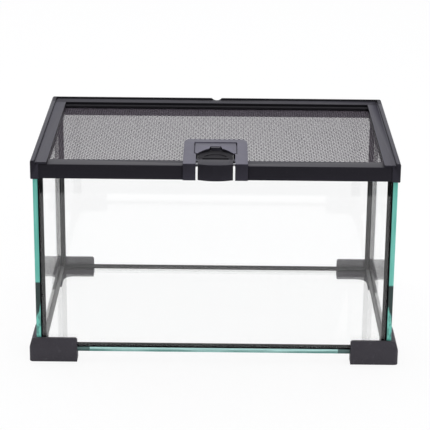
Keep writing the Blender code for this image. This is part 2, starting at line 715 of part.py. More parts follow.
def screw_places():
    """The two screws that hold the latch to the front bar."""
    x = (SLOT_HALF + LATCH_HALF) / 2
    y = BAR_FRONT + SCREW_SETBACK
    return [(-x, y), (x, y)]


def crown(y):
    """The height of the latch's top: flat at the front, then a gentle crown."""
    start = LATCH_FRONT + LATCH_FLAT
    if y <= start:
        return LATCH_TOP
    share = (y - start) / (LATCH_REAR - start)
    return LATCH_TOP + LATCH_CROWN * math.sin(share * math.pi / 2)


def crown_points(start, end, steps=ARC_STEPS):
    """Points along the latch's top from one y to another."""
    return [(y, crown(y)) for y in (start + (end - start) * step / steps for step in range(steps + 1))]


def housing_outline():
    """The latch housing from the side: apron, top with its crown, rear block and underside."""
    radius = LATCH_EDGE_RADIUS
    block_bottom = SCREEN_TOP + FIT_GAP
    top = crown_points(LATCH_FRONT + LATCH_FLAT, LATCH_REAR - radius)
    rear = arc((LATCH_REAR - radius, LATCH_CROWN_TOP - radius), radius, 60, 0, steps=2)
    front = arc((LATCH_FRONT + radius, LATCH_TOP - radius), radius, 180, 90)
    apron_back = LATCH_FRONT + LATCH_APRON
    lower = [(LATCH_REAR, block_bottom), (BAR_REAR + FIT_GAP, block_bottom), (BAR_REAR + FIT_GAP, LATCH_FOOT)]
    lower += [(apron_back, LATCH_FOOT), (apron_back, FASCIA_BOTTOM), (LATCH_FRONT, FASCIA_BOTTOM)]
    return front + top + rear + lower


def housing_plan():
    """The latch housing from above, with its rear corners rounded."""
    width = LATCH_CORNER_WIDTH
    length = LATCH_CORNER_LENGTH
    start_x = LATCH_HALF - width
    start_y = LATCH_REAR - length
    right = [(start_x + width * x, start_y + length * y) for x, y in arc((0, 0), 1, 0, 90)]
    left = [(-x, y) for x, y in reversed(right)]
    return [(LATCH_HALF, LATCH_FRONT)] + right + left + [(-LATCH_HALF, LATCH_FRONT)]


def add_housing(group, cutters, finishes, slide):
    """The latch housing: two arms beside the lever, joined by a block behind it."""
    housing = add_mesh("latch_housing", bar_x("latch_housing", housing_outline(), -LATCH_HALF, LATCH_HALF),
                       group, finishes["plastic"], slide)
    low = FASCIA_BOTTOM - RIM_WEB
    high = LATCH_CROWN_TOP + RIM_WEB
    combine(housing, bar_z("housing_plan", housing_plan(), low, high), "INTERSECT", cutters)
    gap = FIT_GAP
    front = LATCH_FRONT - RIM_WEB
    well = LEVER_WIDTH / 2 + gap
    ledge_top = SCREEN_TOP + gap + LATCH_LEDGE
    for cut, cut_low, cut_high in (
        ("lever_front_slot", (-SLOT_HALF, front, low), (SLOT_HALF, BAR_REAR + gap, high)),
        ("lever_rear_slot", (-SLOT_HALF, front, ledge_top), (SLOT_HALF, LATCH_BLOCK_FRONT, high)),
        ("lever_well", (-well, front, low), (well, LATCH_BLOCK_FRONT, high)),
    ):
        combine(housing, box_mesh(cut, cut_low, cut_high), "DIFFERENCE", cutters)
    recess_low = (-PLATE_HALF - PLATE_GAP, PLATE_FRONT - PLATE_GAP, PLATE_BOTTOM - gap)
    recess_high = (PLATE_HALF + PLATE_GAP, PLATE_REAR + PLATE_GAP, high)
    combine(housing, box_mesh("plate_recess", recess_low, recess_high), "DIFFERENCE", cutters)
    seat = SPRING_WIDTH / 2 + gap
    seat_low = (-seat, LATCH_BLOCK_FRONT - RIM_WEB, SCREEN_TOP - RIM_WEB)
    seat_high = (seat, LATCH_BLOCK_FRONT + SPRING_SEAT + gap, spring_level() + SPRING_STRIP + gap)
    combine(housing, box_mesh("spring_seat", seat_low, seat_high), "DIFFERENCE", cutters)
    for x, y in screw_places():
        combine(housing, round_mesh("screw_bore", SCREW_RADIUS + gap, (x, y, LATCH_FOOT - RIM_WEB),
                                    (x, y, LATCH_FOOT + SCREW_BITE + gap), "Z"), "DIFFERENCE", cutters)
    return housing


def plate_plan():
    """The cover plate from above: an arch leaves the thumb's dish open, and a notch its grip."""
    radius = PLATE_CORNER
    half_arch = ARCH_WIDTH / 2
    notch = ARCH_NOTCH_WIDTH / 2
    right = arc((PLATE_HALF - radius, PLATE_FRONT + radius), radius, 270, 360)
    side = []
    for step in range(2 * ARC_STEPS + 1):
        across = -half_arch * math.cos(math.pi * step / (4 * ARC_STEPS))
        if across < -notch:
            side.append((across, arch_depth(across)))
    side += [(-notch, arch_depth(notch)), (-ARCH_NOTCH_END / 2, arch_depth(notch) + ARCH_NOTCH)]
    arch = side + [(-x, y) for x, y in reversed(side)]
    left = [(-x, y) for x, y in reversed(right)]
    return left + arch + right + [(PLATE_HALF, PLATE_REAR), (-PLATE_HALF, PLATE_REAR)]


def arch_depth(x):
    """Where the arch's edge is at some distance from the middle: a low bow."""
    return PLATE_FRONT + ARCH_DEPTH * (1 - (2 * x / ARCH_WIDTH) ** 2)


def add_plate(group, cutters, finishes, slide):
    """The plate let into the housing's top, over the lever's tail."""
    outline = crown_points(PLATE_FRONT, PLATE_REAR)
    outline += [(PLATE_REAR, PLATE_BOTTOM), (PLATE_FRONT, PLATE_BOTTOM)]
    plate = add_mesh("latch_cover_plate", bar_x("latch_cover_plate", outline, -PLATE_HALF, PLATE_HALF),
                     group, finishes["plastic"], slide)
    combine(plate, bar_z("plate_plan", plate_plan(), PLATE_BOTTOM - RIM_WEB, LATCH_CROWN_TOP + RIM_WEB),
            "INTERSECT", cutters)
    return plate


def lever_top(y):
    """The height of the lever's top: a pad in front, then a slope down to the tail."""
    tail_top = PLATE_BOTTOM - FIT_GAP - FIT_GAP
    ridge_end = LATCH_FRONT + LEVER_RIDGE
    slope_end = LATCH_FRONT + LEVER_SLOPE_END
    share = min(max((y - ridge_end) / (slope_end - ridge_end), 0.0), 1.0)
    return LATCH_TOP + (tail_top - LATCH_TOP) * share


def lever_outline():
    """The lever from the side: skirt, pad, tail and the boss around the pin."""
    steps = 2 * ARC_STEPS
    bottom = FASCIA_BOTTOM
    front = LATCH_FRONT - FIT_GAP - LEVER_BOW
    skirt = [(front, bottom)] + arc((front + LEVER_WALL, LATCH_TOP - LEVER_WALL), LEVER_WALL, 180, 90)
    ridge_y = LATCH_FRONT + LEVER_WALL
    top = []
    for step in range(steps + 1):
        y = ridge_y + (LEVER_REAR - ridge_y) * step / steps
        top.append((y, lever_top(y)))
    under = []
    under_front = PIN_Y + BOSS_RADIUS + LEVER_WALL
    for step in range(steps // 2, -1, -1):
        y = under_front + (LEVER_REAR - under_front) * step / (steps // 2)
        under.append((y, lever_top(y) - LEVER_WALL))
    boss = arc((PIN_Y, PIN_Z), BOSS_RADIUS, 0, -180)
    inner = [(SKIRT_BACK, PIN_Z - BOSS_RADIUS), (SKIRT_BACK, bottom + STRIKE_RISE + STRIKE_HEIGHT)]
    rib = -HALF_DEPTH - FIT_GAP - STRIKE - FIT_GAP
    inner += [(rib, bottom + STRIKE_RISE + STRIKE_HEIGHT / 2), (SKIRT_BACK, bottom)]
    return skirt + top + under + boss + inner


def bow(half, depth, y, steps=ARC_STEPS):
    """Points in plan along a shallow bow towards the front, from left to right."""
    shares = [step / steps for step in range(-steps, steps + 1)]
    return [(half * share, y - depth * (1 - share ** 2)) for share in shares]


def lever_plan():
    """The lever from above, with its front bowed outwards."""
    half = LEVER_WIDTH / 2
    front = bow(half, LEVER_BOW, LATCH_FRONT - FIT_GAP)
    return front + [(half, LEVER_REAR), (-half, LEVER_REAR)]


def dish_plan():
    """The thumb's dish from above: a straight edge in front and a bow behind."""
    front = LATCH_FRONT + LEVER_RIDGE
    return [(-x, y) for x, y in bow(DISH_WIDTH / 2, -DISH_LENGTH, front)]


def add_lever(group, cutters, finishes, pivot):
    """The rocking lever: a bowed skirt, a pad with a grip slot and a dish, and a tail with a lip."""
    half = LEVER_WIDTH / 2
    lever = add_mesh("latch_lever", bar_x("latch_lever", lever_outline(), -half, half), group,
                     finishes["plastic"], pivot)
    low = FASCIA_BOTTOM - RIM_WEB
    high = LATCH_CROWN_TOP + RIM_WEB
    combine(lever, bar_z("lever_plan", lever_plan(), low, high), "INTERSECT", cutters)
    tail = lever_top(LEVER_REAR)
    lip = box_mesh("lever_lip", (-LEVER_LIP_WIDTH / 2, LEVER_REAR - LEVER_LIP_LENGTH, tail - LEVER_WALL / 2),
                   (LEVER_LIP_WIDTH / 2, LEVER_REAR - FIT_GAP, tail + LEVER_LIP_RISE))
    combine(lever, lip, "UNION", cutters)
    slot_front = LATCH_FRONT + GRIP_SLOT_SETBACK
    slot_floor = LATCH_TOP - GRIP_SLOT_DEPTH
    grip_slot = box_mesh("grip_slot", (-GRIP_SLOT_WIDTH / 2, slot_front, slot_floor),
                         (GRIP_SLOT_WIDTH / 2, slot_front + GRIP_SLOT_LENGTH, high))
    combine(lever, grip_slot, "DIFFERENCE", cutters)
    dish_floor = lever_top(LATCH_FRONT + LEVER_RIDGE + DISH_LENGTH) - DISH_DEPTH / 2
    combine(lever, bar_z("thumb_dish", dish_plan(), dish_floor, high), "DIFFERENCE", cutters)
    combine(lever, round_mesh("lever_bore", PIN_RADIUS + PIN_GAP, (-half - RIM_WEB, PIN_Y, PIN_Z),
                              (half + RIM_WEB, PIN_Y, PIN_Z), "X"), "DIFFERENCE", cutters)
    return lever


def add_pin(group, finishes, slide):
    """The lever's pin, held at both ends in the front bar."""
    reach = SLOT_HALF + PIN_BITE
    mesh = round_mesh("latch_pin", PIN_RADIUS, (-reach, PIN_Y, PIN_Z), (reach, PIN_Y, PIN_Z), "X")
    smooth(add_mesh("latch_pin", mesh, group, finishes["steel"], slide))


def spring_level():
    """The underside of the leaf spring's seated end."""
    return SCREEN_TOP + FIT_GAP + FIT_GAP


def add_spring(group, finishes, slide):
    """A leaf spring seated under the rear block, with its tip under the lever's tail."""
    low = spring_level()
    rear = LATCH_BLOCK_FRONT + SPRING_SEAT
    tip = LATCH_BLOCK_FRONT - SPRING_REACH
    rest = lever_top(tip) - LEVER_WALL - FIT_GAP - SPRING_STRIP
    bend = LATCH_BLOCK_FRONT - RIM_WEB
    lower = [(rear, low), (bend, low), (tip, rest)]
    upper = [(y, z + SPRING_STRIP) for y, z in reversed(lower)]
    mesh = bar_x("latch_spring", lower + upper, -SPRING_WIDTH / 2, SPRING_WIDTH / 2)
    add_mesh("latch_spring", mesh, group, finishes["steel"], slide)


def add_screws(group, cutters, finishes, slide):
    """Two screws from below, through the front bar into the latch's arms."""
    for side_name, (x, y) in zip(("left", "right"), screw_places()):
        name = f"latch_screw_{side_name}"
        head = round_mesh(name, SCREW_HEAD_RADIUS, (x, y, LID_BOTTOM), (x, y, LID_BOTTOM + SCREW_HEAD), "Z")
        shank = round_mesh(name, SCREW_RADIUS, (x, y, LID_BOTTOM + SCREW_HEAD / 2),
                           (x, y, LATCH_FOOT + SCREW_BITE), "Z")
        screw = add_mesh(name, head, group, finishes["steel"], slide)
        combine(screw, shank, "UNION", cutters)
        smooth(screw)


def main():
    """Build the terrarium, from the ground up."""
    clear_scene()
    group = make_collection(COLLECTION)
    cutters = make_collection("cutters", hidden=True)
    finishes = make_finishes()
    add_glass(group, finishes)
    add_seams(group, finishes)
    add_feet(group, cutters, finishes)
    add_top_frame(group, cutters, finishes)
    add_strike(group, finishes)
    slide = make_empty("lid_slide_axis", (0, BAR_FRONT, LID_BOTTOM), group)
    pivot = make_empty("latch_pivot_axis", (0, PIN_Y, PIN_Z), group, slide)
    lid = add_lid_frame(group, cutters, finishes, slide)
    cut_for_latch(lid, cutters)
    add_screen(group, cutters, finishes, slide)
    add_retainer(group, cutters, finishes, slide)
    add_housing(group, cutters, finishes, slide)
    add_plate(group, cutters, finishes, slide)
    add_lever(group, cutters, finishes, pivot)
    add_pin(group, finishes, slide)
    add_spring(group, finishes, slide)
    add_screws(group, cutters, finishes, slide)
    bpy.context.view_layer.update()


main()
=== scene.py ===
"""Looks of the small glass terrarium: glass, silicone, moulded plastic, woven screen and latch.

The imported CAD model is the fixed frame. Every piece is in metres, in that frame, and rides on one of
its bodies.
"""

import logging
import math
from collections.abc import Callable, Mapping, Sequence
from dataclasses import dataclass, field
from enum import Enum
from typing import Any

import bpy
from mathutils import Matrix, Vector


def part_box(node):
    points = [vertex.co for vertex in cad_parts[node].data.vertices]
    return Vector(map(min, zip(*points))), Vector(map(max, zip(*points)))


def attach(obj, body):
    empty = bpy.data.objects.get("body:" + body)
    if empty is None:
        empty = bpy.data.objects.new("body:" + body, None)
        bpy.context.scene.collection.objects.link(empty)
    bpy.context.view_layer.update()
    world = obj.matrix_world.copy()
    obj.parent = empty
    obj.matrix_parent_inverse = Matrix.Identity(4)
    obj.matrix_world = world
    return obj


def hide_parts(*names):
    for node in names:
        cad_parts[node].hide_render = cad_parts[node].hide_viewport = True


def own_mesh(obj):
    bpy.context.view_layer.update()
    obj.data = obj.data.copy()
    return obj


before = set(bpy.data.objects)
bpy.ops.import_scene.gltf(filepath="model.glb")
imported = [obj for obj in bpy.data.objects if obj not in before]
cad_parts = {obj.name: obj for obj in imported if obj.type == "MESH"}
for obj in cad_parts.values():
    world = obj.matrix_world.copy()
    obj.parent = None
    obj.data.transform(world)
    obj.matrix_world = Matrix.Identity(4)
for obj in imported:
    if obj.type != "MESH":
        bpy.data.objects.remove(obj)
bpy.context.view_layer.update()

Point = tuple[float, float, float]
Colour = tuple[float, float, float]
log = logging.getLogger("terrarium")

# Two places nearer than this are one place, in metres.
TOUCHING = 0.00001
# A normal with a part above this is square to that axis.
SQUARE = 0.999
# A normal that goes this far along a way faces it.
FACING = 0.9


class Body(Enum):
    """The CAD bodies that pieces ride on."""

    TANK = "tank"
    LID = "lid"
    LEVER = "lever"


class Slot(Enum):
    """The material slots."""

    GLASS = "glass"
    SILICONE = "silicone"
    PLASTIC = "black_plastic"
    GRAINED = "grained_plastic"
    WIRE = "wire"
    STEEL = "steel"


class Axis(Enum):
    """The frame's axes, as indexes into a point."""

    X = 0
    Y = 1
    Z = 2


class Part(Enum):
    """A mesh's parts, by select mode, with the mesh's own name for each."""

    FACE = "polygons"
    EDGE = "edges"
    VERT = "vertices"


def srgb(red: int, green: int, blue: int) -> Colour:
    """A colour as a screen shows it, made linear.

    Args:
        red: Red from 0 to 255.
        green: Green from 0 to 255.
        blue: Blue from 0 to 255.

    Returns:
        The same colour as linear numbers from 0 to 1.
    """
    shares = [part / 255 for part in (red, green, blue)]
    linear = [share / 12.92 if share <= 0.04045 else ((share + 0.055) / 1.055) ** 2.4
              for share in shares]
    return (linear[0], linear[1], linear[2])


@dataclass(frozen=True)
class Number:
    """One number in a node tree. Python's operators on it add Math nodes."""

    sheet: "NodeSheet"
    socket: bpy.types.NodeSocket

    def math(self, operation: str, *others: "Number | float", swap: bool = False) -> "Number":
        """Add one Math node.

        Args:
            operation: The Math node's operation.
            others: What goes into its other inputs.
            swap: True if this number is the second input.

        Returns:
            The node's result.
        """
        values = [self, *others]
        if swap:
            values.reverse()
        made = self.sheet.node("ShaderNodeMath", {"operation": operation}, dict(enumerate(values)))
        return Number(self.sheet, made.outputs[0])

    def __add__(self, other: "Number | float") -> "Number":
        """The sum."""
        return self.math("ADD", other)

    def __radd__(self, other: float) -> "Number":
        """The sum, with this number second."""
        return self.math("ADD", other, swap=True)

    def __sub__(self, other: "Number | float") -> "Number":
        """The difference."""
        return self.math("SUBTRACT", other)

    def __rsub__(self, other: float) -> "Number":
        """The difference, with this number second."""
        return self.math("SUBTRACT", other, swap=True)

    def __mul__(self, other: "Number | float") -> "Number":
        """The product."""
        return self.math("MULTIPLY", other)

    def __rmul__(self, other: float) -> "Number":
        """The product, with this number second."""
        return self.math("MULTIPLY", other, swap=True)

    def above(self, level: float, softness: float) -> "Number":
        """A mask that rises from 0 to 1 as this number passes a level.

        Args:
            level: The number at which the mask is a half.
            softness: How wide the rise is.

        Returns:
            The mask.
        """
        made = self.sheet.node(
            "ShaderNodeMapRange",
            {"interpolation_type": "SMOOTHSTEP"},
            {"Value": self, "From Min": level - softness / 2, "From Max": level + softness / 2},
        )
        return Number(self.sheet, made.outputs[0])

    def below(self, level: float, softness: float) -> "Number":
        """A mask that falls from 1 to 0 as this number passes a level."""
        return 1 - self.above(level, softness)


class NodeSheet:
    """A node tree that is built one node at a time."""

    def __init__(self, tree: bpy.types.NodeTree) -> None:
        """Start with an empty tree."""
        self.tree = tree
        tree.nodes.clear()

    def node(
        self, kind: str, settings: Mapping[str, Any] | None = None, sockets: Mapping[Any, Any] | None = None
    ) -> bpy.types.Node:
        """Add a node.

        Args:
            kind: The node's type name.
            settings: Its settings; "stops" gives a colour ramp's places and colours.
            sockets: Values or links for its inputs, by name or number.

        Returns:
            The node.
        """
        made = self.tree.nodes.new(kind)
        for name, value in (settings or {}).items():
            if name == "stops":
                self.set_stops(made.color_ramp, value)
            else:
                setattr(made, name, value)
        for name, value in (sockets or {}).items():
            self.feed(made.inputs[name], value)
        return made

    @staticmethod
    def set_stops(ramp: bpy.types.ColorRamp, stops: Sequence[tuple[float, Colour]]) -> None:
        """Give a colour ramp its stops.

        Args:
            ramp: The ramp, with Blender's own two stops.
            stops: Each stop's place and colour.
        """
        while len(ramp.elements) < len(stops):
            ramp.elements.new(1.0)
        for element, (place, colour) in zip(ramp.elements, stops):
            element.position = place
            element.color = (*colour, 1.0)

    def feed(self, socket: bpy.types.NodeSocket, value: Any) -> None:
        """Link a socket, or set its value.

        Args:
            socket: The input.
            value: A Number, an output socket, a number or a colour.
        """
        if isinstance(value, Number):
            value = value.socket
        if isinstance(value, bpy.types.NodeSocket):
            self.tree.links.new(value, socket)
        elif isinstance(value, tuple) and socket.type == "RGBA":
            socket.default_value = (*value, 1.0)
        else:
            socket.default_value = value

    def number(self, kind: str, output: str, settings: Mapping[str, Any] | None = None,
               sockets: Mapping[Any, Any] | None = None) -> Number:
        """Add a node and take one number from it."""
        return Number(self, self.node(kind, settings, sockets).outputs[output])

    def place(self, stretch: Point = (1.0, 1.0, 1.0)) -> bpy.types.NodeSocket:
        """A point's place on the object, stretched along each axis.

        Args:
            stretch: The factor along each axis.

        Returns:
            The vector socket.
        """
        where = self.node("ShaderNodeTexCoord").outputs["Object"]
        return self.node("ShaderNodeMapping", None, {"Vector": where, "Scale": stretch}).outputs[0]

    def along(self, axis: Axis) -> Number:
        """A point's place along one axis, in metres."""
        where = self.node("ShaderNodeTexCoord").outputs["Object"]
        split = self.node("ShaderNodeSeparateXYZ", None, {0: where})
        return Number(self, split.outputs[axis.value])

    def rays(self, *names: str) -> list[Number]:
        """Light Path's switches, which are 1 for the named kinds of ray."""
        path = self.node("ShaderNodeLightPath")
        return [Number(self, path.outputs[name]) for name in names]

    def noise(self, size: float, detail: float = 2.0, stretch: Point = (1.0, 1.0, 1.0)) -> Number:
        """Soft noise.

        Args:
            size: The size of its lumps in metres.
            detail: How many finer layers it has.
            stretch: The factor on the place along each axis.

        Returns:
            The noise, about 0.5 on average.
        """
        sockets = {"Vector": self.place(stretch), "Scale": 1.0 / size, "Detail": detail}
        return self.number("ShaderNodeTexNoise", "Fac", None, sockets)

    def blend(self, factor: Any, first: Any, second: Any) -> bpy.types.NodeSocket:
        """Mix two colours.

        Args:
            factor: The second colour's share.
            first: The first colour.
            second: The second colour.

        Returns:
            The mixed colour.
        """
        made = self.node("ShaderNodeMix", {"data_type": "RGBA"}, {"Factor": factor})
        self.feed(made.inputs[6], first)
        self.feed(made.inputs[7], second)
        return made.outputs[2]

    def mix(self, share: Any, first: bpy.types.Node, second: bpy.types.Node) -> bpy.types.Node:
        """Mix two shaders.

        Args:
            share: The second shader's share.
            first: The first shader's node.
            second: The second shader's node.

        Returns:
            The mixing node.
        """
        return self.node("ShaderNodeMixShader", None, {0: share, 1: first.outputs[0], 2: second.outputs[0]})

    def show(self, shader: bpy.types.Node, kind: str = "Material") -> None:
        """End the tree: let the material, or the world, show a shader."""
        self.node(f"ShaderNodeOutput{kind}", None, {"Surface": shader.outputs[0]})

    def bump(self, height: Number, depth: float) -> bpy.types.NodeSocket:
        """A normal from a height.

        Args:
            height: The height from 0 to 1.
            depth: What a height of 1 is in metres.

        Returns:
            The normal.
        """
        return self.node("ShaderNodeBump", None, {"Height": height, "Distance": depth}).outputs[0]


def new_material(name: str) -> tuple[bpy.types.Material, NodeSheet]:
    """A material with an empty node tree.

    Args:
        name: The material's name.

    Returns:
        The material and its node sheet.
    """
    material = bpy.data.materials.new(name)
    material.use_nodes = True
    return material, NodeSheet(material.node_tree)


@dataclass(frozen=True)
class ClearPane:
    """A polished glass face, which bends what is behind it and mirrors more towards grazing angles."""

    tint: Colour = (0.999, 1.0, 1.0)
    ior: float = 1.5
    smear: float = 0.012
    smudge_size: float = 0.045
    smudge_share: float = 0.12

    def make(self) -> bpy.types.Material:
        """Build the material; lamps and soft light pass straight through, so the pane throws no shadow."""
        material, sheet = new_material("clear_pane")
        mirror = sheet.number("ShaderNodeFresnel", "Fac", None, {"IOR": self.ior})
        smudge = sheet.noise(self.smudge_size, 3.0).above(0.55, 0.4)
        lamp, soft = sheet.rays("Is Shadow Ray", "Is Diffuse Ray")
        film = mirror * (1 - lamp) * (1.0 - self.smudge_share * smudge)
        bent = sheet.node("ShaderNodeBsdfRefraction", None,
                          {"Color": self.tint, "IOR": self.ior, "Roughness": 0.0})
        straight = sheet.node("ShaderNodeBsdfTransparent", None, {"Color": self.tint})
        through = sheet.mix(lamp.math("MAXIMUM", soft), bent, straight)
        shine = sheet.node("ShaderNodeBsdfGlossy", None, {"Color": (1.0, 1.0, 1.0), "Roughness": self.smear})
        sheet.show(sheet.mix(film, through, shine))
        return material


@dataclass(frozen=True)
class HiddenEdge:
    """The cut edge of a pane that silicone and the frame hide: a faint shine and nothing more."""

    shine: float = 0.06
    dust_size: float = 0.0015

    def make(self) -> bpy.types.Material:
        """Build the material."""
        material, sheet = new_material("hidden_glass_edge")
        dust = sheet.noise(self.dust_size, 2.0).above(0.5, 0.4)
        through = sheet.node("ShaderNodeBsdfTransparent", None, {"Color": (1.0, 1.0, 1.0)})
        gloss = sheet.node("ShaderNodeBsdfGlossy", None, {"Color": (0.9, 1.0, 0.97), "Roughness": 0.3})
        sheet.show(sheet.mix(self.shine * dust, through, gloss))
        return material


@dataclass(frozen=True)
class CutEdge:
    """A seamed glass edge: green from the light that runs along the pane, with darker streaks.

    Between its two shade heights it has a painted reflection of something dark, with a ragged lower end that
    leans outwards over the pane's middle and painted dark ripples below it. Towards both ends, past a given
    distance from the middle, it has that painted reflection as well; above a given height it is painted
    lighter, a painted highlight.
    """

    name: str
    bright: Colour
    deep: Colour
    # The colour of a painted reflection of the dark foot, laid between the two heights below.
    shade: Colour
    shade_low: float
    shade_high: float
    streaks: Point = (1.0, 1.0, 0.06)
    # Above this height the edge is painted lighter, a painted highlight.
    painted_highlight_level: float = 1.0
    # Past this distance from the middle the edge takes a painted reflection of the dark feet.
    painted_foot_reflection_from: float = 1.0
    streak_size: float = 0.0022
    pane_middle: float = 0.148
    lean: float = 2.2
    raggedness: float = 0.026
    roughness: float = 0.22

    def make(self) -> bpy.types.Material:
        """Build the material; from inside the glass the edge can't be seen, so it is clear there."""
        material, sheet = new_material(self.name)
        height, out = sheet.along(Axis.Z), sheet.along(Axis.X).math("ABSOLUTE")
        streak = sheet.noise(self.streak_size, 2.0, self.streaks)
        # A painted highlight along the top of the edge, which joins the streaks in the bright colour's share.
        painted_highlight = height.above(self.painted_highlight_level, 0.0022)
        light = (0.55 * streak.above(0.5, 0.35) + painted_highlight).math("MINIMUM", 1.0)
        colour = sheet.blend(light, self.deep, self.bright)
        # A painted reflection of the dark foot between two heights, with a ragged lower end and painted dark
        # ripples below it.
        wander = self.raggedness * (sheet.noise(0.003, 2.0, (1.0, 1.0, 0.3)) - 0.5)
        ragged = height + self.lean * (out - self.pane_middle) + wander
        painted_reflection_patch = ragged.above(self.shade_low, 0.005) * height.below(self.shade_high, 0.0015)
        waves = sheet.noise(0.0026, 2.0, (1.0, 1.0, 0.4)).above(0.55, 0.12)
        ripples = waves * height.below(self.shade_low, 0.01)
        # Towards both ends the edge takes a painted reflection of the dark feet as well.
        ends = out.above(self.painted_foot_reflection_from, 0.0008)
        dark = (0.95 * painted_reflection_patch).math("MAXIMUM", 0.5 * ripples).math("MAXIMUM", 0.85 * ends)
        colour = sheet.blend(dark, colour, self.shade)
        edge = sheet.node("ShaderNodeBsdfPrincipled", None, {
            "Base Color": colour,
            "Roughness": self.roughness,
            "IOR": 1.5,
            "Normal": sheet.bump(streak, 0.00004),
        })
        through = sheet.node("ShaderNodeBsdfTransparent", None, {"Color": (1.0, 1.0, 1.0)})
        behind = sheet.number("ShaderNodeNewGeometry", "Backfacing")
        sheet.show(sheet.mix(behind, edge, through))
        return material


@dataclass(frozen=True)
class Moulded:
    """Moulded plastic with a fine grain, faint flow marks, a varied shine and steps of painted shade."""

    name: str
    colour: Colour
    worn: Colour
    roughness: float
    specular: float
    grain: float
    grain_depth: float
    flow: Point = (1.0, 1.0, 1.0)
    painted_shade_steps: tuple[tuple[float, float], ...] = ()
    sheen_tint: Colour = (0.74, 0.71, 1.0)
    painted_shade_roughness: float = 0.6
    painted_shade_specular: float = 0.03

    def make(self) -> bpy.types.Material:
        """Build the material; behind each step's place, that share of the surface loses its sheen, as painted
        shade.
        """
        material, sheet = new_material(self.name)
        grain = sheet.noise(self.grain, 3.0)
        cloud = sheet.noise(0.018, 2.0, self.flow)
        specks = sheet.noise(self.grain * 2.5, 4.0).above(0.66, 0.12)
        colour = sheet.blend(0.35 * cloud + 0.35 * specks, self.colour, self.worn)
        surface = sheet.node("ShaderNodeBsdfPrincipled", None, {
            "Base Color": colour,
            "Roughness": self.roughness - 0.06 + 0.12 * cloud,
            "Specular IOR Level": self.specular,
            "Specular Tint": self.sheen_tint,
            "Normal": sheet.bump(grain, self.grain_depth),
        })
        # Painted shade: behind each step's place the surface takes a less shiny copy of itself, which renders
        # darker.
        if self.painted_shade_steps:
            painted_shade_surface = sheet.node("ShaderNodeBsdfPrincipled", None, {
                "Base Color": colour,
                "Roughness": self.painted_shade_roughness + 0.12 * cloud,
                "Specular IOR Level": self.painted_shade_specular,
                "Normal": sheet.bump(grain, self.grain_depth),
            })
            place = sheet.along(Axis.Y)
            shares = [share * place.above(start, 0.0005) for start, share in self.painted_shade_steps]
            factor = sum(shares[1:], shares[0])
            surface = sheet.mix(factor, surface, painted_shade_surface)
        sheet.show(surface)
        return material


@dataclass(frozen=True)
class Sealant:
    """Cured black silicone, with faint ripples: shiny where it was drawn, dull where it holds on to glass."""

    name: str
    specular: float
    colour: Colour = (0.006, 0.006, 0.007)
    dusty: Colour = (0.02, 0.02, 0.022)
    roughness: float = 0.36

    def make(self) -> bpy.types.Material:
        """Build the material."""
        material, sheet = new_material(self.name)
        ripple = sheet.noise(0.004, 2.0, (1.0, 1.0, 0.4))
        dust = sheet.noise(0.0012, 3.0).above(0.62, 0.2)
        surface = sheet.node("ShaderNodeBsdfPrincipled", None, {
            "Base Color": sheet.blend(0.5 * dust, self.colour, self.dusty),
            "Roughness": self.roughness + 0.15 * ripple,
            "Specular IOR Level": self.specular,
            "Normal": sheet.bump(ripple, 0.0002),
        })
        sheet.show(surface)
        return material


@dataclass(frozen=True)
class Metal:
    """Drawn metal: wire, pin, spring or screw, with fine draw marks."""

    name: str
    colour: Colour
    dull: Colour
    metallic: float
    roughness: float
    marks: Point

    def make(self) -> bpy.types.Material:
        """Build the material."""
        material, sheet = new_material(self.name)
        marks = sheet.noise(0.0008, 2.0, self.marks)
        patina = sheet.noise(0.012, 3.0).above(0.5, 0.5)
        surface = sheet.node("ShaderNodeBsdfPrincipled", None, {
            "Base Color": sheet.blend(0.6 * patina, self.colour, self.dull),
            "Metallic": self.metallic,
            "Roughness": self.roughness + 0.2 * marks,
            "Normal": sheet.bump(marks, 0.00002),
        })
        sheet.show(surface)
        return material


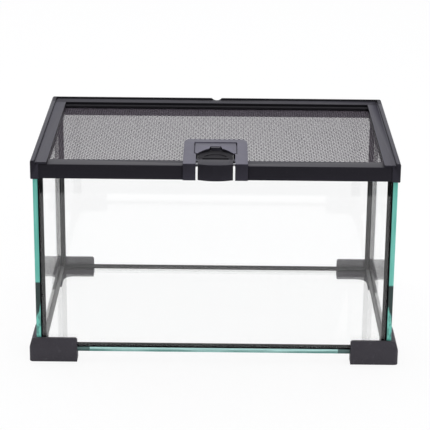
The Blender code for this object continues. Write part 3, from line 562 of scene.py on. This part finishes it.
class Finishes:
    """Every finish of the terrarium, made once."""

    def __init__(self) -> None:
        """Make the materials."""
        even, along, across = (1.0, 1.0, 1.0), (1.0, 0.15, 1.0), (0.15, 1.0, 1.0)
        self.clear = ClearPane().make()
        self.hidden_edge = HiddenEdge().make()
        # The upright edges carry a painted reflection of the dark foot between these two heights.
        self.upright_edge = CutEdge(
            "upright_glass_edge", srgb(138, 228, 212), srgb(102, 196, 180), srgb(14, 20, 24),
            shade_low=0.040, shade_high=0.0690).make()
        # The floor pane's edge is painted lighter along its top, a painted highlight, and darker towards both
        # ends, a painted reflection of the dark feet.
        self.flat_edge = CutEdge(
            "floor_glass_edge", srgb(200, 246, 240), srgb(80, 140, 132), srgb(52, 82, 80),
            shade_low=0.0, shade_high=0.0, streaks=(0.06, 1.0, 1.0), painted_highlight_level=0.0096,
            painted_foot_reflection_from=0.1045).make()
        black = (srgb(33, 32, 35), srgb(48, 46, 50))
        # The frame's rear rail loses most of its sheen behind the rib, as painted shade where the rib and
        # flange block its reflection.
        self.frame = Moulded(
            "frame_plastic", *black, roughness=0.42, specular=0.36, grain=0.0005, grain_depth=0.00002,
            flow=along, painted_shade_steps=((0.0840, 0.45), (0.0966, 0.45))).make()
        # The lid's rear bar loses most of its sheen, as painted shade under the frame's rear flange.
        self.lid = Moulded(
            "lid_plastic", *black, roughness=0.42, specular=0.20, grain=0.0005, grain_depth=0.00002,
            flow=across, painted_shade_steps=((0.0750, 0.85),)).make()
        # The latch's front face keeps only part of its sheen, as painted shade that makes it darker than the
        # top.
        self.latch = Moulded(
            "latch_plastic", *black, roughness=0.46, specular=1.15, grain=0.0004, grain_depth=0.00003,
            flow=even, painted_shade_steps=((-1.0, 0.55), (-0.1003, -0.55))).make()
        # The lever loses some sheen on its pad and most of it in the thumb dish, as painted shade in the dish
        # under the plate.
        self.lever = Moulded(
            "lever_plastic", *black, roughness=0.46, specular=0.30, grain=0.0004, grain_depth=0.00003,
            flow=even, painted_shade_steps=((-1.0, 0.20), (-0.0886, 0.70), (-0.0680, 0.06), (-0.0590, -0.96))).make()
        self.foot = Moulded(
            "foot_plastic", srgb(60, 58, 60), srgb(82, 79, 82), roughness=0.60, specular=0.34,
            grain=0.0016, grain_depth=0.0005).make()
        self.drawn_sealant = Sealant("drawn_sealant", 0.48).make()
        # The side joints' sealant shines far more than the drawn sealant: a painted sheen that makes those
        # joints lighter.
        self.side_sealant = Sealant("side_sealant", 1.8).make()
        self.bonded_sealant = Sealant("bonded_sealant", 0.02).make()
        self.wire = Metal("screen_wire", srgb(84, 76, 86), srgb(68, 62, 72),
                          metallic=0.35, roughness=0.45, marks=even).make()
        self.steel = Metal("small_steel", srgb(232, 233, 236), srgb(205, 206, 210),
                           metallic=0.7, roughness=0.42, marks=(0.05, 1.0, 1.0)).make()


class Bench:
    """The modelling bench: Blender's own operators, used as by hand."""

    @staticmethod
    def clear() -> None:
        """Leave edit mode and deselect every object."""
        if bpy.context.object is not None and bpy.context.object.mode != "OBJECT":
            bpy.ops.object.mode_set(mode="OBJECT")
        bpy.ops.object.select_all(action="DESELECT")

    @staticmethod
    def take(item: bpy.types.Object) -> None:
        """Select one object alone and make it active."""
        Bench.clear()
        item.select_set(True)
        bpy.context.view_layer.objects.active = item

    @staticmethod
    def block(name: str, low: Sequence[float], high: Sequence[float]) -> bpy.types.Object:
        """A box primitive at its size and place.

        Args:
            name: The piece's name.
            low: Its lowest corner.
            high: Its highest corner.

        Returns:
            The object, with its place in its mesh.
        """
        Bench.clear()
        size = tuple(b - a for a, b in zip(low, high))
        middle = tuple((a + b) / 2 for a, b in zip(low, high))
        bpy.ops.mesh.primitive_cube_add(size=1.0, location=middle, scale=size)
        return Bench.settle(name)

    @staticmethod
    def settle(name: str) -> bpy.types.Object:
        """Name the new primitive and put its place in its mesh."""
        item = bpy.context.object
        item.name = name
        item.data.name = name
        bpy.ops.object.transform_apply(location=True, rotation=True, scale=True)
        return item

    @staticmethod
    def open_whole(item: bpy.types.Object) -> None:
        """Open the object in edit mode with everything selected."""
        Bench.take(item)
        bpy.ops.object.mode_set(mode="EDIT")
        bpy.ops.mesh.select_all(action="SELECT")

    @staticmethod
    def done() -> None:
        """Close edit mode."""
        bpy.ops.object.mode_set(mode="OBJECT")

    @staticmethod
    def copy_node(node: str, name: str) -> bpy.types.Object:
        """Copy a CAD node's mesh, merged and with its flat faces whole again.

        Args:
            node: The CAD node.
            name: The copy's name.

        Returns:
            The copy, with its place in its mesh.
        """
        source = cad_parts[node]
        item = bpy.data.objects.new(name, source.data.copy())
        item.matrix_world = source.matrix_world
        bpy.context.scene.collection.objects.link(item)
        item.data.name = name
        Bench.take(item)
        bpy.ops.object.transform_apply(location=True, rotation=True, scale=True)
        Bench.open_whole(item)
        bpy.ops.mesh.remove_doubles(threshold=TOUCHING)
        bpy.ops.mesh.dissolve_limited(angle_limit=math.radians(0.5))
        Bench.done()
        return item

    @staticmethod
    def mirrored(item: bpy.types.Object, name: str, flips: Sequence[bool]) -> bpy.types.Object:
        """Copy a piece to the other side of the tank.

        Args:
            item: The piece.
            name: The copy's name.
            flips: Whether the copy is turned over along X, Y and Z.

        Returns:
            The copy, with its own mesh.
        """
        Bench.take(item)
        bpy.ops.object.duplicate()
        copy = bpy.context.object
        copy.name = name
        copy.data.name = name
        copy.scale = tuple(-1.0 if flip else 1.0 for flip in flips)
        bpy.ops.object.transform_apply(location=True, rotation=True, scale=True)
        Bench.face_out(copy)
        return copy

    @staticmethod
    def pick(item: bpy.types.Object, kind: Part, test: Callable[[Any], bool]) -> None:
        """Open the object in edit mode with the parts that pass a test selected.

        Args:
            item: The object.
            kind: Faces, edges or points.
            test: Tells from a part whether it is selected.
        """
        Bench.take(item)
        bpy.ops.object.mode_set(mode="EDIT")
        bpy.ops.mesh.select_mode(type=kind.name)
        bpy.ops.mesh.select_all(action="DESELECT")
        bpy.ops.object.mode_set(mode="OBJECT")
        for part in getattr(item.data, kind.value):
            part.select = test(part)
        bpy.ops.object.mode_set(mode="EDIT")

    @staticmethod
    def pick_faces(item: bpy.types.Object, test: Callable[[bpy.types.MeshPolygon], bool]) -> None:
        """Pick the faces that pass a test."""
        Bench.pick(item, Part.FACE, test)

    @staticmethod
    def pick_edges(item: bpy.types.Object, test: Callable[[Vector], bool]) -> None:
        """Pick the edges whose two ends both pass a test on their place."""
        Bench.pick(item, Part.EDGE,
                   lambda edge: all(test(item.data.vertices[index].co) for index in edge.vertices))

    @staticmethod
    def pick_points(item: bpy.types.Object, test: Callable[[Vector], bool]) -> None:
        """Pick the points that pass a test on their place."""
        Bench.pick(item, Part.VERT, lambda point: test(point.co))

    @staticmethod
    def shift(item: bpy.types.Object, way: Sequence[float], test: Callable[[Vector], bool]) -> None:
        """Move the points that pass a test on their place."""
        Bench.pick_points(item, test)
        bpy.ops.transform.translate(value=way)
        Bench.done()

    @staticmethod
    def assign(item: bpy.types.Object, index: int, test: Callable[[bpy.types.MeshPolygon], bool]) -> None:
        """Give the faces that pass a test the piece's material at an index."""
        Bench.pick_faces(item, test)
        item.active_material_index = index
        bpy.ops.object.material_slot_assign()
        Bench.done()

    @staticmethod
    def face_out(item: bpy.types.Object) -> None:
        """Turn every face of a closed piece outwards."""
        Bench.open_whole(item)
        bpy.ops.mesh.normals_make_consistent(inside=False)
        Bench.done()

    @staticmethod
    def apply(item: bpy.types.Object) -> None:
        """Apply every modifier in order."""
        Bench.take(item)
        for modifier in list(item.modifiers):
            bpy.ops.object.modifier_apply(modifier=modifier.name)

    @staticmethod
    def smooth(item: bpy.types.Object, degrees: float = 35.0) -> None:
        """Shade a piece smooth, with its sharper edges kept."""
        Bench.take(item)
        bpy.ops.object.shade_smooth_by_angle(angle=math.radians(degrees))


def dress(item: bpy.types.Object, *materials: bpy.types.Material) -> None:
    """Give a piece its materials in slot order."""
    item.data.materials.clear()
    for material in materials:
        item.data.materials.append(material)


def settle_piece(item: bpy.types.Object, body: Body, stands_for: Sequence[str] = ()) -> None:
    """Let a new piece ride on its body and report it.

    Args:
        item: The piece.
        body: The CAD body that it rides on.
        stands_for: The CAD nodes that it replaces.
    """
    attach(item, body.value)
    if stands_for:
        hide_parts(*stands_for)
    log.info("%s rides on %s with %d faces", item.name, body.value, len(item.data.polygons))


def dress_node(name: str, material: bpy.types.Material) -> None:
    """Give a CAD node its finish, in the slots that it has."""
    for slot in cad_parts[name].material_slots:
        slot.material = material
    log.info("%s keeps its CAD mesh in %s", name, material.name)


@dataclass
class GlassTank:
    """Five panes with seamed edges, each in the place of its CAD pane."""

    seam_width: float = 0.0005
    thin_axis: dict[str, Axis] = field(default_factory=lambda: {
        "floor_pane": Axis.Z,
        "front_pane": Axis.Y,
        "rear_pane": Axis.Y,
        "left_pane": Axis.X,
        "right_pane": Axis.X,
    })

    def build(self, finishes: Finishes) -> None:
        """Model and dress every pane."""
        edges = {
            "floor_pane": finishes.flat_edge,
            "left_pane": finishes.upright_edge,
            "right_pane": finishes.upright_edge,
        }
        for node, axis in self.thin_axis.items():
            self.pane(node, axis, finishes.clear, edges.get(node, finishes.hidden_edge))

    def pane(self, node: str, axis: Axis, clear: bpy.types.Material, edge: bpy.types.Material) -> None:
        """One pane: a block with seamed edges, clear faces and green edges.

        Args:
            node: The CAD pane.
            axis: The axis through the pane's thickness.
            clear: The finish of its two faces.
            edge: The finish of its cut edges; those of the front and rear panes are sealed in silicone.
        """
        item = Bench.block(f"glass_{node}", *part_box(node))
        Bench.pick_faces(item, lambda face: True)
        bpy.ops.mesh.bevel(offset=self.seam_width, offset_type="OFFSET", segments=2, profile=0.6)
        Bench.done()
        dress(item, clear, edge)
        Bench.assign(item, 1, lambda face: abs(face.normal[axis.value]) < SQUARE)
        settle_piece(item, Body.TANK, [node])


@dataclass(frozen=True)
class SoftMoulding:
    """A moulded piece in the shape of its CAD node, with its edges rounded as they leave the tool."""

    node: str
    body: Body
    slot: Slot
    radius: float
    segments: int = 2
    sharp_degrees: float = 28.0

    def build(self, material: bpy.types.Material) -> None:
        """Copy the node, round its edges and dress it.

        Args:
            material: The finish.
        """
        item = Bench.copy_node(self.node, f"moulded_{self.node}")
        self.shape(item)
        step = item.modifiers.new("rounded edges", "BEVEL")
        step.width = self.radius
        step.segments = self.segments
        step.limit_method = "ANGLE"
        step.angle_limit = math.radians(self.sharp_degrees)
        Bench.apply(item)
        Bench.smooth(item, 40.0)
        dress(item, material)
        settle_piece(item, self.body, [self.node])

    def shape(self, item: bpy.types.Object) -> None:
        """Shape the copy further before its edges are rounded; a plain moulding needs nothing."""


@dataclass(frozen=True)
class FrameMoulding(SoftMoulding):
    """The top frame, whose side ridges are rounded into beads."""

    ridge_width: float = 0.0038
    bead_radius: float = 0.0011
    bead_steps: int = 4

    def shape(self, item: bpy.types.Object) -> None:
        """Round the inner edge of each side's ridge.

        Args:
            item: The frame's copy.
        """
        _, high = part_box(self.node)
        ridge = high.x - self.ridge_width
        Bench.pick_edges(item, lambda end: (
            abs(end.z - high.z) < TOUCHING and abs(abs(end.x) - ridge) < TOUCHING))
        bpy.ops.mesh.bevel(offset=self.bead_radius, segments=self.bead_steps, profile=0.5, affect="EDGES")
        Bench.done()


@dataclass(frozen=True)
class LidMoulding(SoftMoulding):
    """The lid's frame, whose front plate fills the opening between the end blocks."""

    ease: float = 0.00033
    plate: float = 0.0025

    def shape(self, item: bpy.types.Object) -> None:
        """Move the front plate's two ends outwards.

        Args:
            item: The lid frame's copy.
        """
        low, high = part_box(self.node)
        for side in (-1, 1):
            end = side * high.x
            Bench.shift(item, (side * self.ease, 0, 0), lambda point, end=end: (
                abs(point.x - end) < TOUCHING and point.y < low.y + self.plate))


@dataclass(frozen=True)
class PlateMoulding(SoftMoulding):
    """The latch's cover plate, which lies a little below the housing at its rear, in a groove."""

    sink: float = 0.0005
    groove: float = 0.00025
    skin: float = 0.0003

    def shape(self, item: bpy.types.Object) -> None:
        """Widen the groove round the plate and lower the top, more towards the rear.

        Args:
            item: The plate's copy.
        """
        low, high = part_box(self.node)
        Bench.take(item)
        item.scale.x = 1 - self.groove / high.x
        item.scale.y = 1 - self.groove / (high.y - low.y)
        item.location.y = low.y * (1 - item.scale.y)
        bpy.ops.object.transform_apply(location=True, rotation=True, scale=True)
        middle = low.z + self.skin
        levels = sorted({round(point.co.y, 5) for point in item.data.vertices if point.co.z > middle})
        for level in levels:
            share = (level - low.y) / (high.y - low.y)
            Bench.shift(item, (0, 0, -share * self.sink), lambda point, level=level: (
                point.z > middle and abs(point.y - level) < 0.6 * TOUCHING))


@dataclass(frozen=True)
class LeverMoulding(SoftMoulding):
    """The latch's lever, with a deep grip slot, a raised lip and a trimmed lower edge."""

    slot_depth: float = 0.0006
    deepen: float = 0.0004
    slot_reach: float = 0.006
    trim: float = 0.0005
    lip_lift: float = 0.0005

    def shape(self, item: bpy.types.Object) -> None:
        """Lower the grip slot's floor and raise the tail's lip and the skirt's lower edge.

        Args:
            item: The lever's copy.
        """
        low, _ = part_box(self.node)
        _, pin_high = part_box("latch_pin")
        pad = max(point.co.z for point in item.data.vertices if point.co.y < pin_high.y)
        floor = pad - self.slot_depth
        slot_end = pin_high.y + self.slot_reach
        Bench.shift(item, (0, 0, -self.deepen), lambda point: (
            abs(point.z - floor) < TOUCHING and point.y < slot_end))
        lip = max(point.co.z for point in item.data.vertices)
        Bench.shift(item, (0, 0, self.lip_lift), lambda point: point.z > lip - TOUCHING)
        Bench.shift(item, (0, 0, self.trim), lambda point: point.z < low.z + TOUCHING)


@dataclass(frozen=True)
class LeafSpring:
    """The leaf spring under the lever's tail, which flattens as the lever is pressed."""

    under_seat: Point = (0.0, -0.054, 0.1701)
    keep: float = 0.3

    def build(self, material: bpy.types.Material) -> None:
        """Copy the spring and dress it.

        Args:
            material: The finish.
        """
        item = Bench.copy_node("latch_spring", "sprung_leaf")
        dress(item, material)
        settle_piece(item, Body.LID, ["latch_spring"])
        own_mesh(item)


@dataclass(frozen=True)
class SlitShadeBlock:
    """A small dark block on the left arm, standing in for the shade in the slit beside the lever."""

    low: Point = (-0.01605, -0.1008, 0.1721)
    high: Point = (-0.01455, -0.0995, 0.1735)
    radius: float = 0.0002

    def build(self, material: bpy.types.Material) -> None:
        """Model and dress the dark block.

        Args:
            material: The finish.
        """
        item = Bench.block("latch_slit_stop", self.low, self.high)
        Bench.pick_faces(item, lambda face: face.normal.x > FACING)
        bpy.ops.mesh.bevel(offset=self.radius, offset_type="OFFSET", segments=2, profile=0.5)
        Bench.done()
        dress(item, material)
        settle_piece(item, Body.LID)


@dataclass(frozen=True)
class SiliconeJoint:
    """One joint of black silicone: a film between two panes and a hollow fillet inside them."""

    name: str
    corner: Point
    into: Point
    away: Point
    run: Point
    thickness: float
    film: float
    leg: float
    length: float
    hollow: float = 0.92
    hollow_profile: float = 0.10
    hollow_steps: int = 8

    def build(self) -> bpy.types.Object:
        """Model the joint from a thin block.

        Returns:
            The piece.
        """
        into, away, run = Vector(self.into), Vector(self.away), Vector(self.run)
        corner = Vector(self.corner)
        far = corner + into * self.thickness + away * self.film + run * self.length
        low = [min(pair) for pair in zip(corner, far)]
        high = [max(pair) for pair in zip(corner, far)]
        item = Bench.block(self.name, low, high)
        Bench.pick_faces(item, lambda face: face.normal.dot(into) > FACING)
        bpy.ops.mesh.extrude_region_move(TRANSFORM_OT_translate={"value": into * self.leg})
        Bench.done()
        inner = (corner + into * self.thickness).dot(into)
        Bench.pick_faces(item, lambda face: (
            face.normal.dot(away) > FACING and face.center.dot(into) > inner))
        bpy.ops.mesh.extrude_region_move(TRANSFORM_OT_translate={"value": away * (self.leg - self.film)})
        Bench.done()
        tip = corner + into * (self.thickness + self.leg) + away * self.leg
        Bench.pick_edges(item, lambda end: self.near(end, tip, into, away))
        bpy.ops.mesh.bevel(offset=self.hollow * self.leg, segments=self.hollow_steps,
                           profile=self.hollow_profile, affect="EDGES")
        Bench.done()
        Bench.face_out(item)
        Bench.smooth(item, 40.0)
        return item

    @staticmethod
    def near(point: Vector, tip: Vector, into: Vector, away: Vector) -> bool:
        """Tell whether a point lies on the line through the tip along the joint."""
        gap = point - tip
        return abs(gap.dot(into)) < TOUCHING and abs(gap.dot(away)) < TOUCHING


@dataclass(frozen=True)
class SiliconeWork:
    """The tank's eight silicone joints, in the place of the CAD seams."""

    leg: float = 0.0042
    floor_leg: float = 0.0031
    clearance: float = 0.00003

    def build(self, finishes: Finishes) -> None:
        """Model one joint of each kind, copy it to its other places and dress them all.

        Args:
            finishes: The finishes.
        """
        front_low, front_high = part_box("front_pane")
        side_low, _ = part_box("right_pane")
        _, floor_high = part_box("floor_pane")
        seam_low, seam_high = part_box("corner_seam_front_right")
        gap = self.clearance
        foot = floor_high.z + gap
        thickness = front_high.y - front_low.y + gap
        upright = SiliconeJoint(
            "silicone_corner_front_right", (side_low.x - gap, front_low.y + gap, foot), (0, 1, 0), (-1, 0, 0),
            (0, 0, 1), thickness, side_low.x - front_high.x - 2 * gap, self.leg, seam_high.z - foot).build()
        film = front_low.z - foot - gap
        reach = side_low.x
        front = SiliconeJoint(
            "silicone_floor_front", (-reach, front_low.y + gap, foot), (0, 1, 0), (0, 0, 1), (1, 0, 0),
            thickness, film, self.floor_leg, 2 * reach).build()
        depth = -front_low.y
        side = SiliconeJoint(
            "silicone_floor_right", (reach + thickness - 2 * gap, -depth, foot), (-1, 0, 0), (0, 0, 1),
            (0, 1, 0), thickness, film, self.floor_leg, 2 * depth).build()
        joints = [
            (upright, "corner_seam_front_right"),
            (Bench.mirrored(upright, "silicone_corner_front_left", (True, False, False)),
             "corner_seam_front_left"),
            (Bench.mirrored(upright, "silicone_corner_rear_right", (False, True, False)),
             "corner_seam_rear_right"),
            (Bench.mirrored(upright, "silicone_corner_rear_left", (True, True, False)),
             "corner_seam_rear_left"),
            (front, "floor_seam_front"),
            (Bench.mirrored(front, "silicone_floor_rear", (False, True, False)), "floor_seam_rear"),
            (side, "floor_seam_right"),
            (Bench.mirrored(side, "silicone_floor_left", (True, False, False)), "floor_seam_left"),
        ]
        for item, seam in joints:
            # The side joints take the shinier sealant, whose extra sheen is painted.
            along_side = seam in ("floor_seam_left", "floor_seam_right")
            drawn = finishes.side_sealant if along_side else finishes.drawn_sealant
            dress(item, drawn, finishes.bonded_sealant)
            Bench.assign(item, 1, lambda face: max(abs(part) for part in face.normal) > SQUARE)
            settle_piece(item, Body.TANK, [seam])


@dataclass
class WovenScreen:
    """The lid's plain-woven wire screen, in the place of the CAD net."""

    pitch: float = 0.00207
    wire: float = 0.00041
    rise: float = 0.00021
    sides: int = 6

    def build(self, finishes: Finishes) -> None:
        """Weave the wires that run to the rear and those that run across."""
        low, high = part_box("lid_screen")
        level = (low.z + high.z) / 2
        middle = Vector(((low.x + high.x) / 2, (low.y + high.y) / 2, level))
        across = int((high.x - low.x) / self.pitch / 2) * 2
        along = int((high.y - low.y) / self.pitch / 2) * 2
        corner = middle - Vector((across - 1, along - 1, 0)) * self.pitch / 2
        warp = self.weave("screen_wires_to_rear", corner, Axis.Y, along, across)
        weft = self.weave("screen_wires_across", corner, Axis.X, across, along)
        for item in (warp, weft):
            dress(item, finishes.wire)
        settle_piece(warp, Body.LID, ["lid_screen"])
        settle_piece(weft, Body.LID)

    def weave(self, name: str, corner: Vector, run: Axis, crossings: int, count: int) -> bpy.types.Object:
        """Model a pair of wires and repeat it over the screen.

        Args:
            name: The piece's name.
            corner: The first crossing.
            run: The axis that the wires run along.
            crossings: How many wires each one crosses.
            count: How many wires there are.

        Returns:
            The piece.
        """
        side = Axis.X if run is Axis.Y else Axis.Y
        first = 1 if run is Axis.Y else -1
        pair = [self.bent_wire(f"{name}_{index}", corner, run, side, crossings, index, first)
                for index in range(2)]
        Bench.take(pair[0])
        pair[1].select_set(True)
        bpy.ops.object.join()
        item = bpy.context.object
        item.name = name
        item.data.name = name
        step = item.modifiers.new("repeat", "ARRAY")
        step.count = count // 2
        step.use_relative_offset = False
        step.use_constant_offset = True
        offset = Vector((0, 0, 0))
        offset[side.value] = 2 * self.pitch
        step.constant_offset_displace = offset
        Bench.apply(item)
        Bench.smooth(item, 60.0)
        return item

    def bent_wire(self, name: str, corner: Vector, run: Axis, side: Axis, crossings: int, index: int,
                  first: int) -> bpy.types.Object:
        """One wire, drawn from a round end over and under the wires that it crosses.

        Args:
            name: The wire's name.
            corner: The first crossing.
            run: The axis that it runs along.
            side: The axis across it.
            crossings: How many wires it crosses.
            index: 0 for the pair's first wire and 1 for its second.
            first: 1 if the first wire starts above and -1 if below.

        Returns:
            The wire.
        """
        Bench.clear()
        place = corner.copy()
        place[run.value] -= self.pitch / 2
        place[side.value] += index * self.pitch
        turn = (math.pi / 2, 0, 0) if run is Axis.Y else (0, math.pi / 2, 0)
        bpy.ops.mesh.primitive_circle_add(vertices=self.sides, radius=self.wire / 2, fill_type="NGON",
                                          location=place, rotation=turn)
        item = Bench.settle(name)
        Bench.open_whole(item)
        way = first * (1 if index == 0 else -1)
        height = 0.0
        for crossing in range(crossings + 1):
            last = crossing == crossings
            target = 0.0 if last else way * self.rise * (1 if crossing % 2 == 0 else -1)
            move = Vector((0, 0, target - height))
            move[run.value] = self.pitch / 2 if crossing == 0 or last else self.pitch
            bpy.ops.mesh.extrude_region_move(TRANSFORM_OT_translate={"value": move})
            height = target
        Bench.done()
        Bench.face_out(item)
        return item


@dataclass(frozen=True)
class PhotoCamera:
    """The photograph's viewpoint, solved from the rim, the glass, the feet and the seams."""

    focal_pixels: float = 1754.1
    frame_pixels: int = 430
    sensor: float = 36.0
    pitch: float = 0.331281
    yaw: float = -0.0035694
    roll: float = 0.0089927
    place: Point = (0.004889, -1.45752, 0.597547)

    def build(self) -> None:
        """Put the camera in its place and make it the scene's."""
        data = bpy.data.cameras.new("photo_camera")
        data.lens = self.focal_pixels / self.frame_pixels * self.sensor
        data.sensor_width = self.sensor
        data.clip_start = 0.05
        camera = bpy.data.objects.new("photo_camera", data)
        bpy.context.scene.collection.objects.link(camera)
        camera.matrix_world = self.matrix()
        bpy.context.scene.camera = camera

    def matrix(self) -> Matrix:
        """The camera's place and turn: pitched down, then turned and rolled a little.

        Returns:
            The matrix from camera to world.
        """
        yaw_cos, yaw_sin = math.cos(self.yaw), math.sin(self.yaw)
        pitch_cos, pitch_sin = math.cos(self.pitch), math.sin(self.pitch)
        roll_cos, roll_sin = math.cos(self.roll), math.sin(self.roll)
        right = Vector((yaw_cos, -yaw_sin, 0))
        up = Vector((yaw_sin * pitch_sin, yaw_cos * pitch_sin, pitch_cos))
        back = Vector((-yaw_sin * pitch_cos, -yaw_cos * pitch_cos, pitch_sin))
        rolled = (roll_cos * right + roll_sin * up, roll_cos * up - roll_sin * right, back)
        columns = Matrix(rolled).transposed()
        return Matrix.Translation(self.place) @ columns.to_4x4()


@dataclass(frozen=True)
class Studio:
    """A white table under soft light, with a white surround."""

    floor_front: float = -0.54
    floor_reach: float = 4.0
    floor_colour: Colour = (0.93, 0.93, 0.935)
    floor_glow: float = 0.88
    behind: float = 1.0
    before: float = 0.30
    under: float = 0.08
    white: float = 0.985
    lamp_size: float = 1.6
    over_watts: float = 13.0
    over_place: Point = (-0.2, 0.75, 1.65)
    front_watts: float = 15.6
    front_place: Point = (0.9, -1.7, 1.35)
    aim: Point = (0.0, 0.0, 0.08)

    def build(self) -> None:
        """Lay the floor, set the surround and hang the lamps."""
        self.lay_floor()
        self.set_surround()
        self.hang_lamp("softbox_over", self.over_place, self.over_watts)
        self.hang_lamp("softbox_front", self.front_place, self.front_watts)

    def lay_floor(self) -> None:
        """A pale table top that keeps the terrarium's soft shadow."""
        Bench.clear()
        depth = self.floor_reach - self.floor_front
        bpy.ops.mesh.primitive_plane_add(size=depth, location=(0, self.floor_front + depth / 2, 0))
        bpy.ops.transform.resize(value=(2 * self.floor_reach / depth, 1.0, 1.0))
        floor = Bench.settle("table_top")
        material, sheet = new_material("pale_table")
        camera, glossy, through = sheet.rays("Is Camera Ray", "Is Glossy Ray", "Is Transmission Ray")
        seen = self.floor_glow * camera.math("MAXIMUM", glossy).math("MAXIMUM", through)
        shaded = sheet.node("ShaderNodeBsdfDiffuse", None, {"Color": self.floor_colour})
        glow = sheet.node("ShaderNodeEmission", None, {"Color": (1.0, 1.0, 1.0), "Strength": 1.0})
        sheet.show(sheet.mix(seen, shaded, glow))
        dress(floor, material)

    def set_surround(self) -> None:
        """A surround that the camera sees as white, and that lights most from above and behind."""
        world = bpy.data.worlds.new("surround")
        world.use_nodes = True
        sheet = NodeSheet(world.node_tree)
        where = sheet.node("ShaderNodeTexCoord").outputs["Generated"]
        split = sheet.node("ShaderNodeSeparateXYZ", None, {0: where})
        to_rear, upward = Number(sheet, split.outputs[1]), Number(sheet, split.outputs[2])
        sky = self.before + (self.behind - self.before) * to_rear.above(-0.1, 1.2)
        level = self.under + (sky - self.under) * upward.above(0.0, 0.1)
        camera, through = sheet.rays("Is Camera Ray", "Is Transmission Ray")
        seen = camera.math("MAXIMUM", through * to_rear.above(0.0, 0.2))
        light = sheet.node("ShaderNodeBackground", None, {"Color": (0.97, 0.97, 1.0), "Strength": level})
        white = sheet.node("ShaderNodeBackground", None, {"Color": (1.0, 1.0, 1.0), "Strength": self.white})
        sheet.show(sheet.mix(seen, light, white), "World")
        bpy.context.scene.world = world

    def hang_lamp(self, name: str, place: Point, watts: float) -> None:
        """Hang a large soft lamp that faces the terrarium.

        Args:
            name: The lamp's name.
            place: Where it hangs.
            watts: Its power.
        """
        data = bpy.data.lights.new(name, "AREA")
        data.shape = "SQUARE"
        data.size = self.lamp_size
        data.energy = watts
        lamp = bpy.data.objects.new(name, data)
        bpy.context.scene.collection.objects.link(lamp)
        lamp.location = place
        lamp.rotation_euler = (Vector(self.aim) - Vector(place)).to_track_quat("-Z", "Y").to_euler()


def main() -> None:
    """Dress the terrarium and set it up as in the photograph."""
    logging.basicConfig(level=logging.INFO, format="%(message)s")
    bpy.context.scene.view_settings.view_transform = "Standard"
    finishes = Finishes()
    GlassTank().build(finishes)
    WovenScreen().build(finishes)
    SiliconeWork().build(finishes)
    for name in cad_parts:
        if name.startswith("foot_"):
            SoftMoulding(name, Body.TANK, Slot.GRAINED, radius=0.0007, segments=3).build(finishes.foot)
    FrameMoulding("top_frame", Body.TANK, Slot.PLASTIC, radius=0.00025).build(finishes.frame)
    LidMoulding("lid_frame", Body.LID, Slot.PLASTIC, radius=0.0002).build(finishes.lid)
    SoftMoulding("latch_housing", Body.LID, Slot.PLASTIC, radius=0.0003).build(finishes.latch)
    PlateMoulding("latch_cover_plate", Body.LID, Slot.PLASTIC, radius=0.0004).build(finishes.latch)
    # A dark block for the shade in the left slit beside the lever.
    SlitShadeBlock().build(finishes.latch)
    LeafSpring().build(finishes.steel)
    LeverMoulding("latch_lever", Body.LEVER, Slot.PLASTIC, radius=0.0003).build(finishes.lever)
    groups = {
        finishes.lid: ["screen_retainer"],
        finishes.latch: ["latch_strike"],
        finishes.steel: ["latch_pin", "latch_screw_left", "latch_screw_right"],
    }
    for material, names in groups.items():
        for name in names:
            dress_node(name, material)
    PhotoCamera().build()
    Studio().build()


if __name__ == "__main__":
    main()
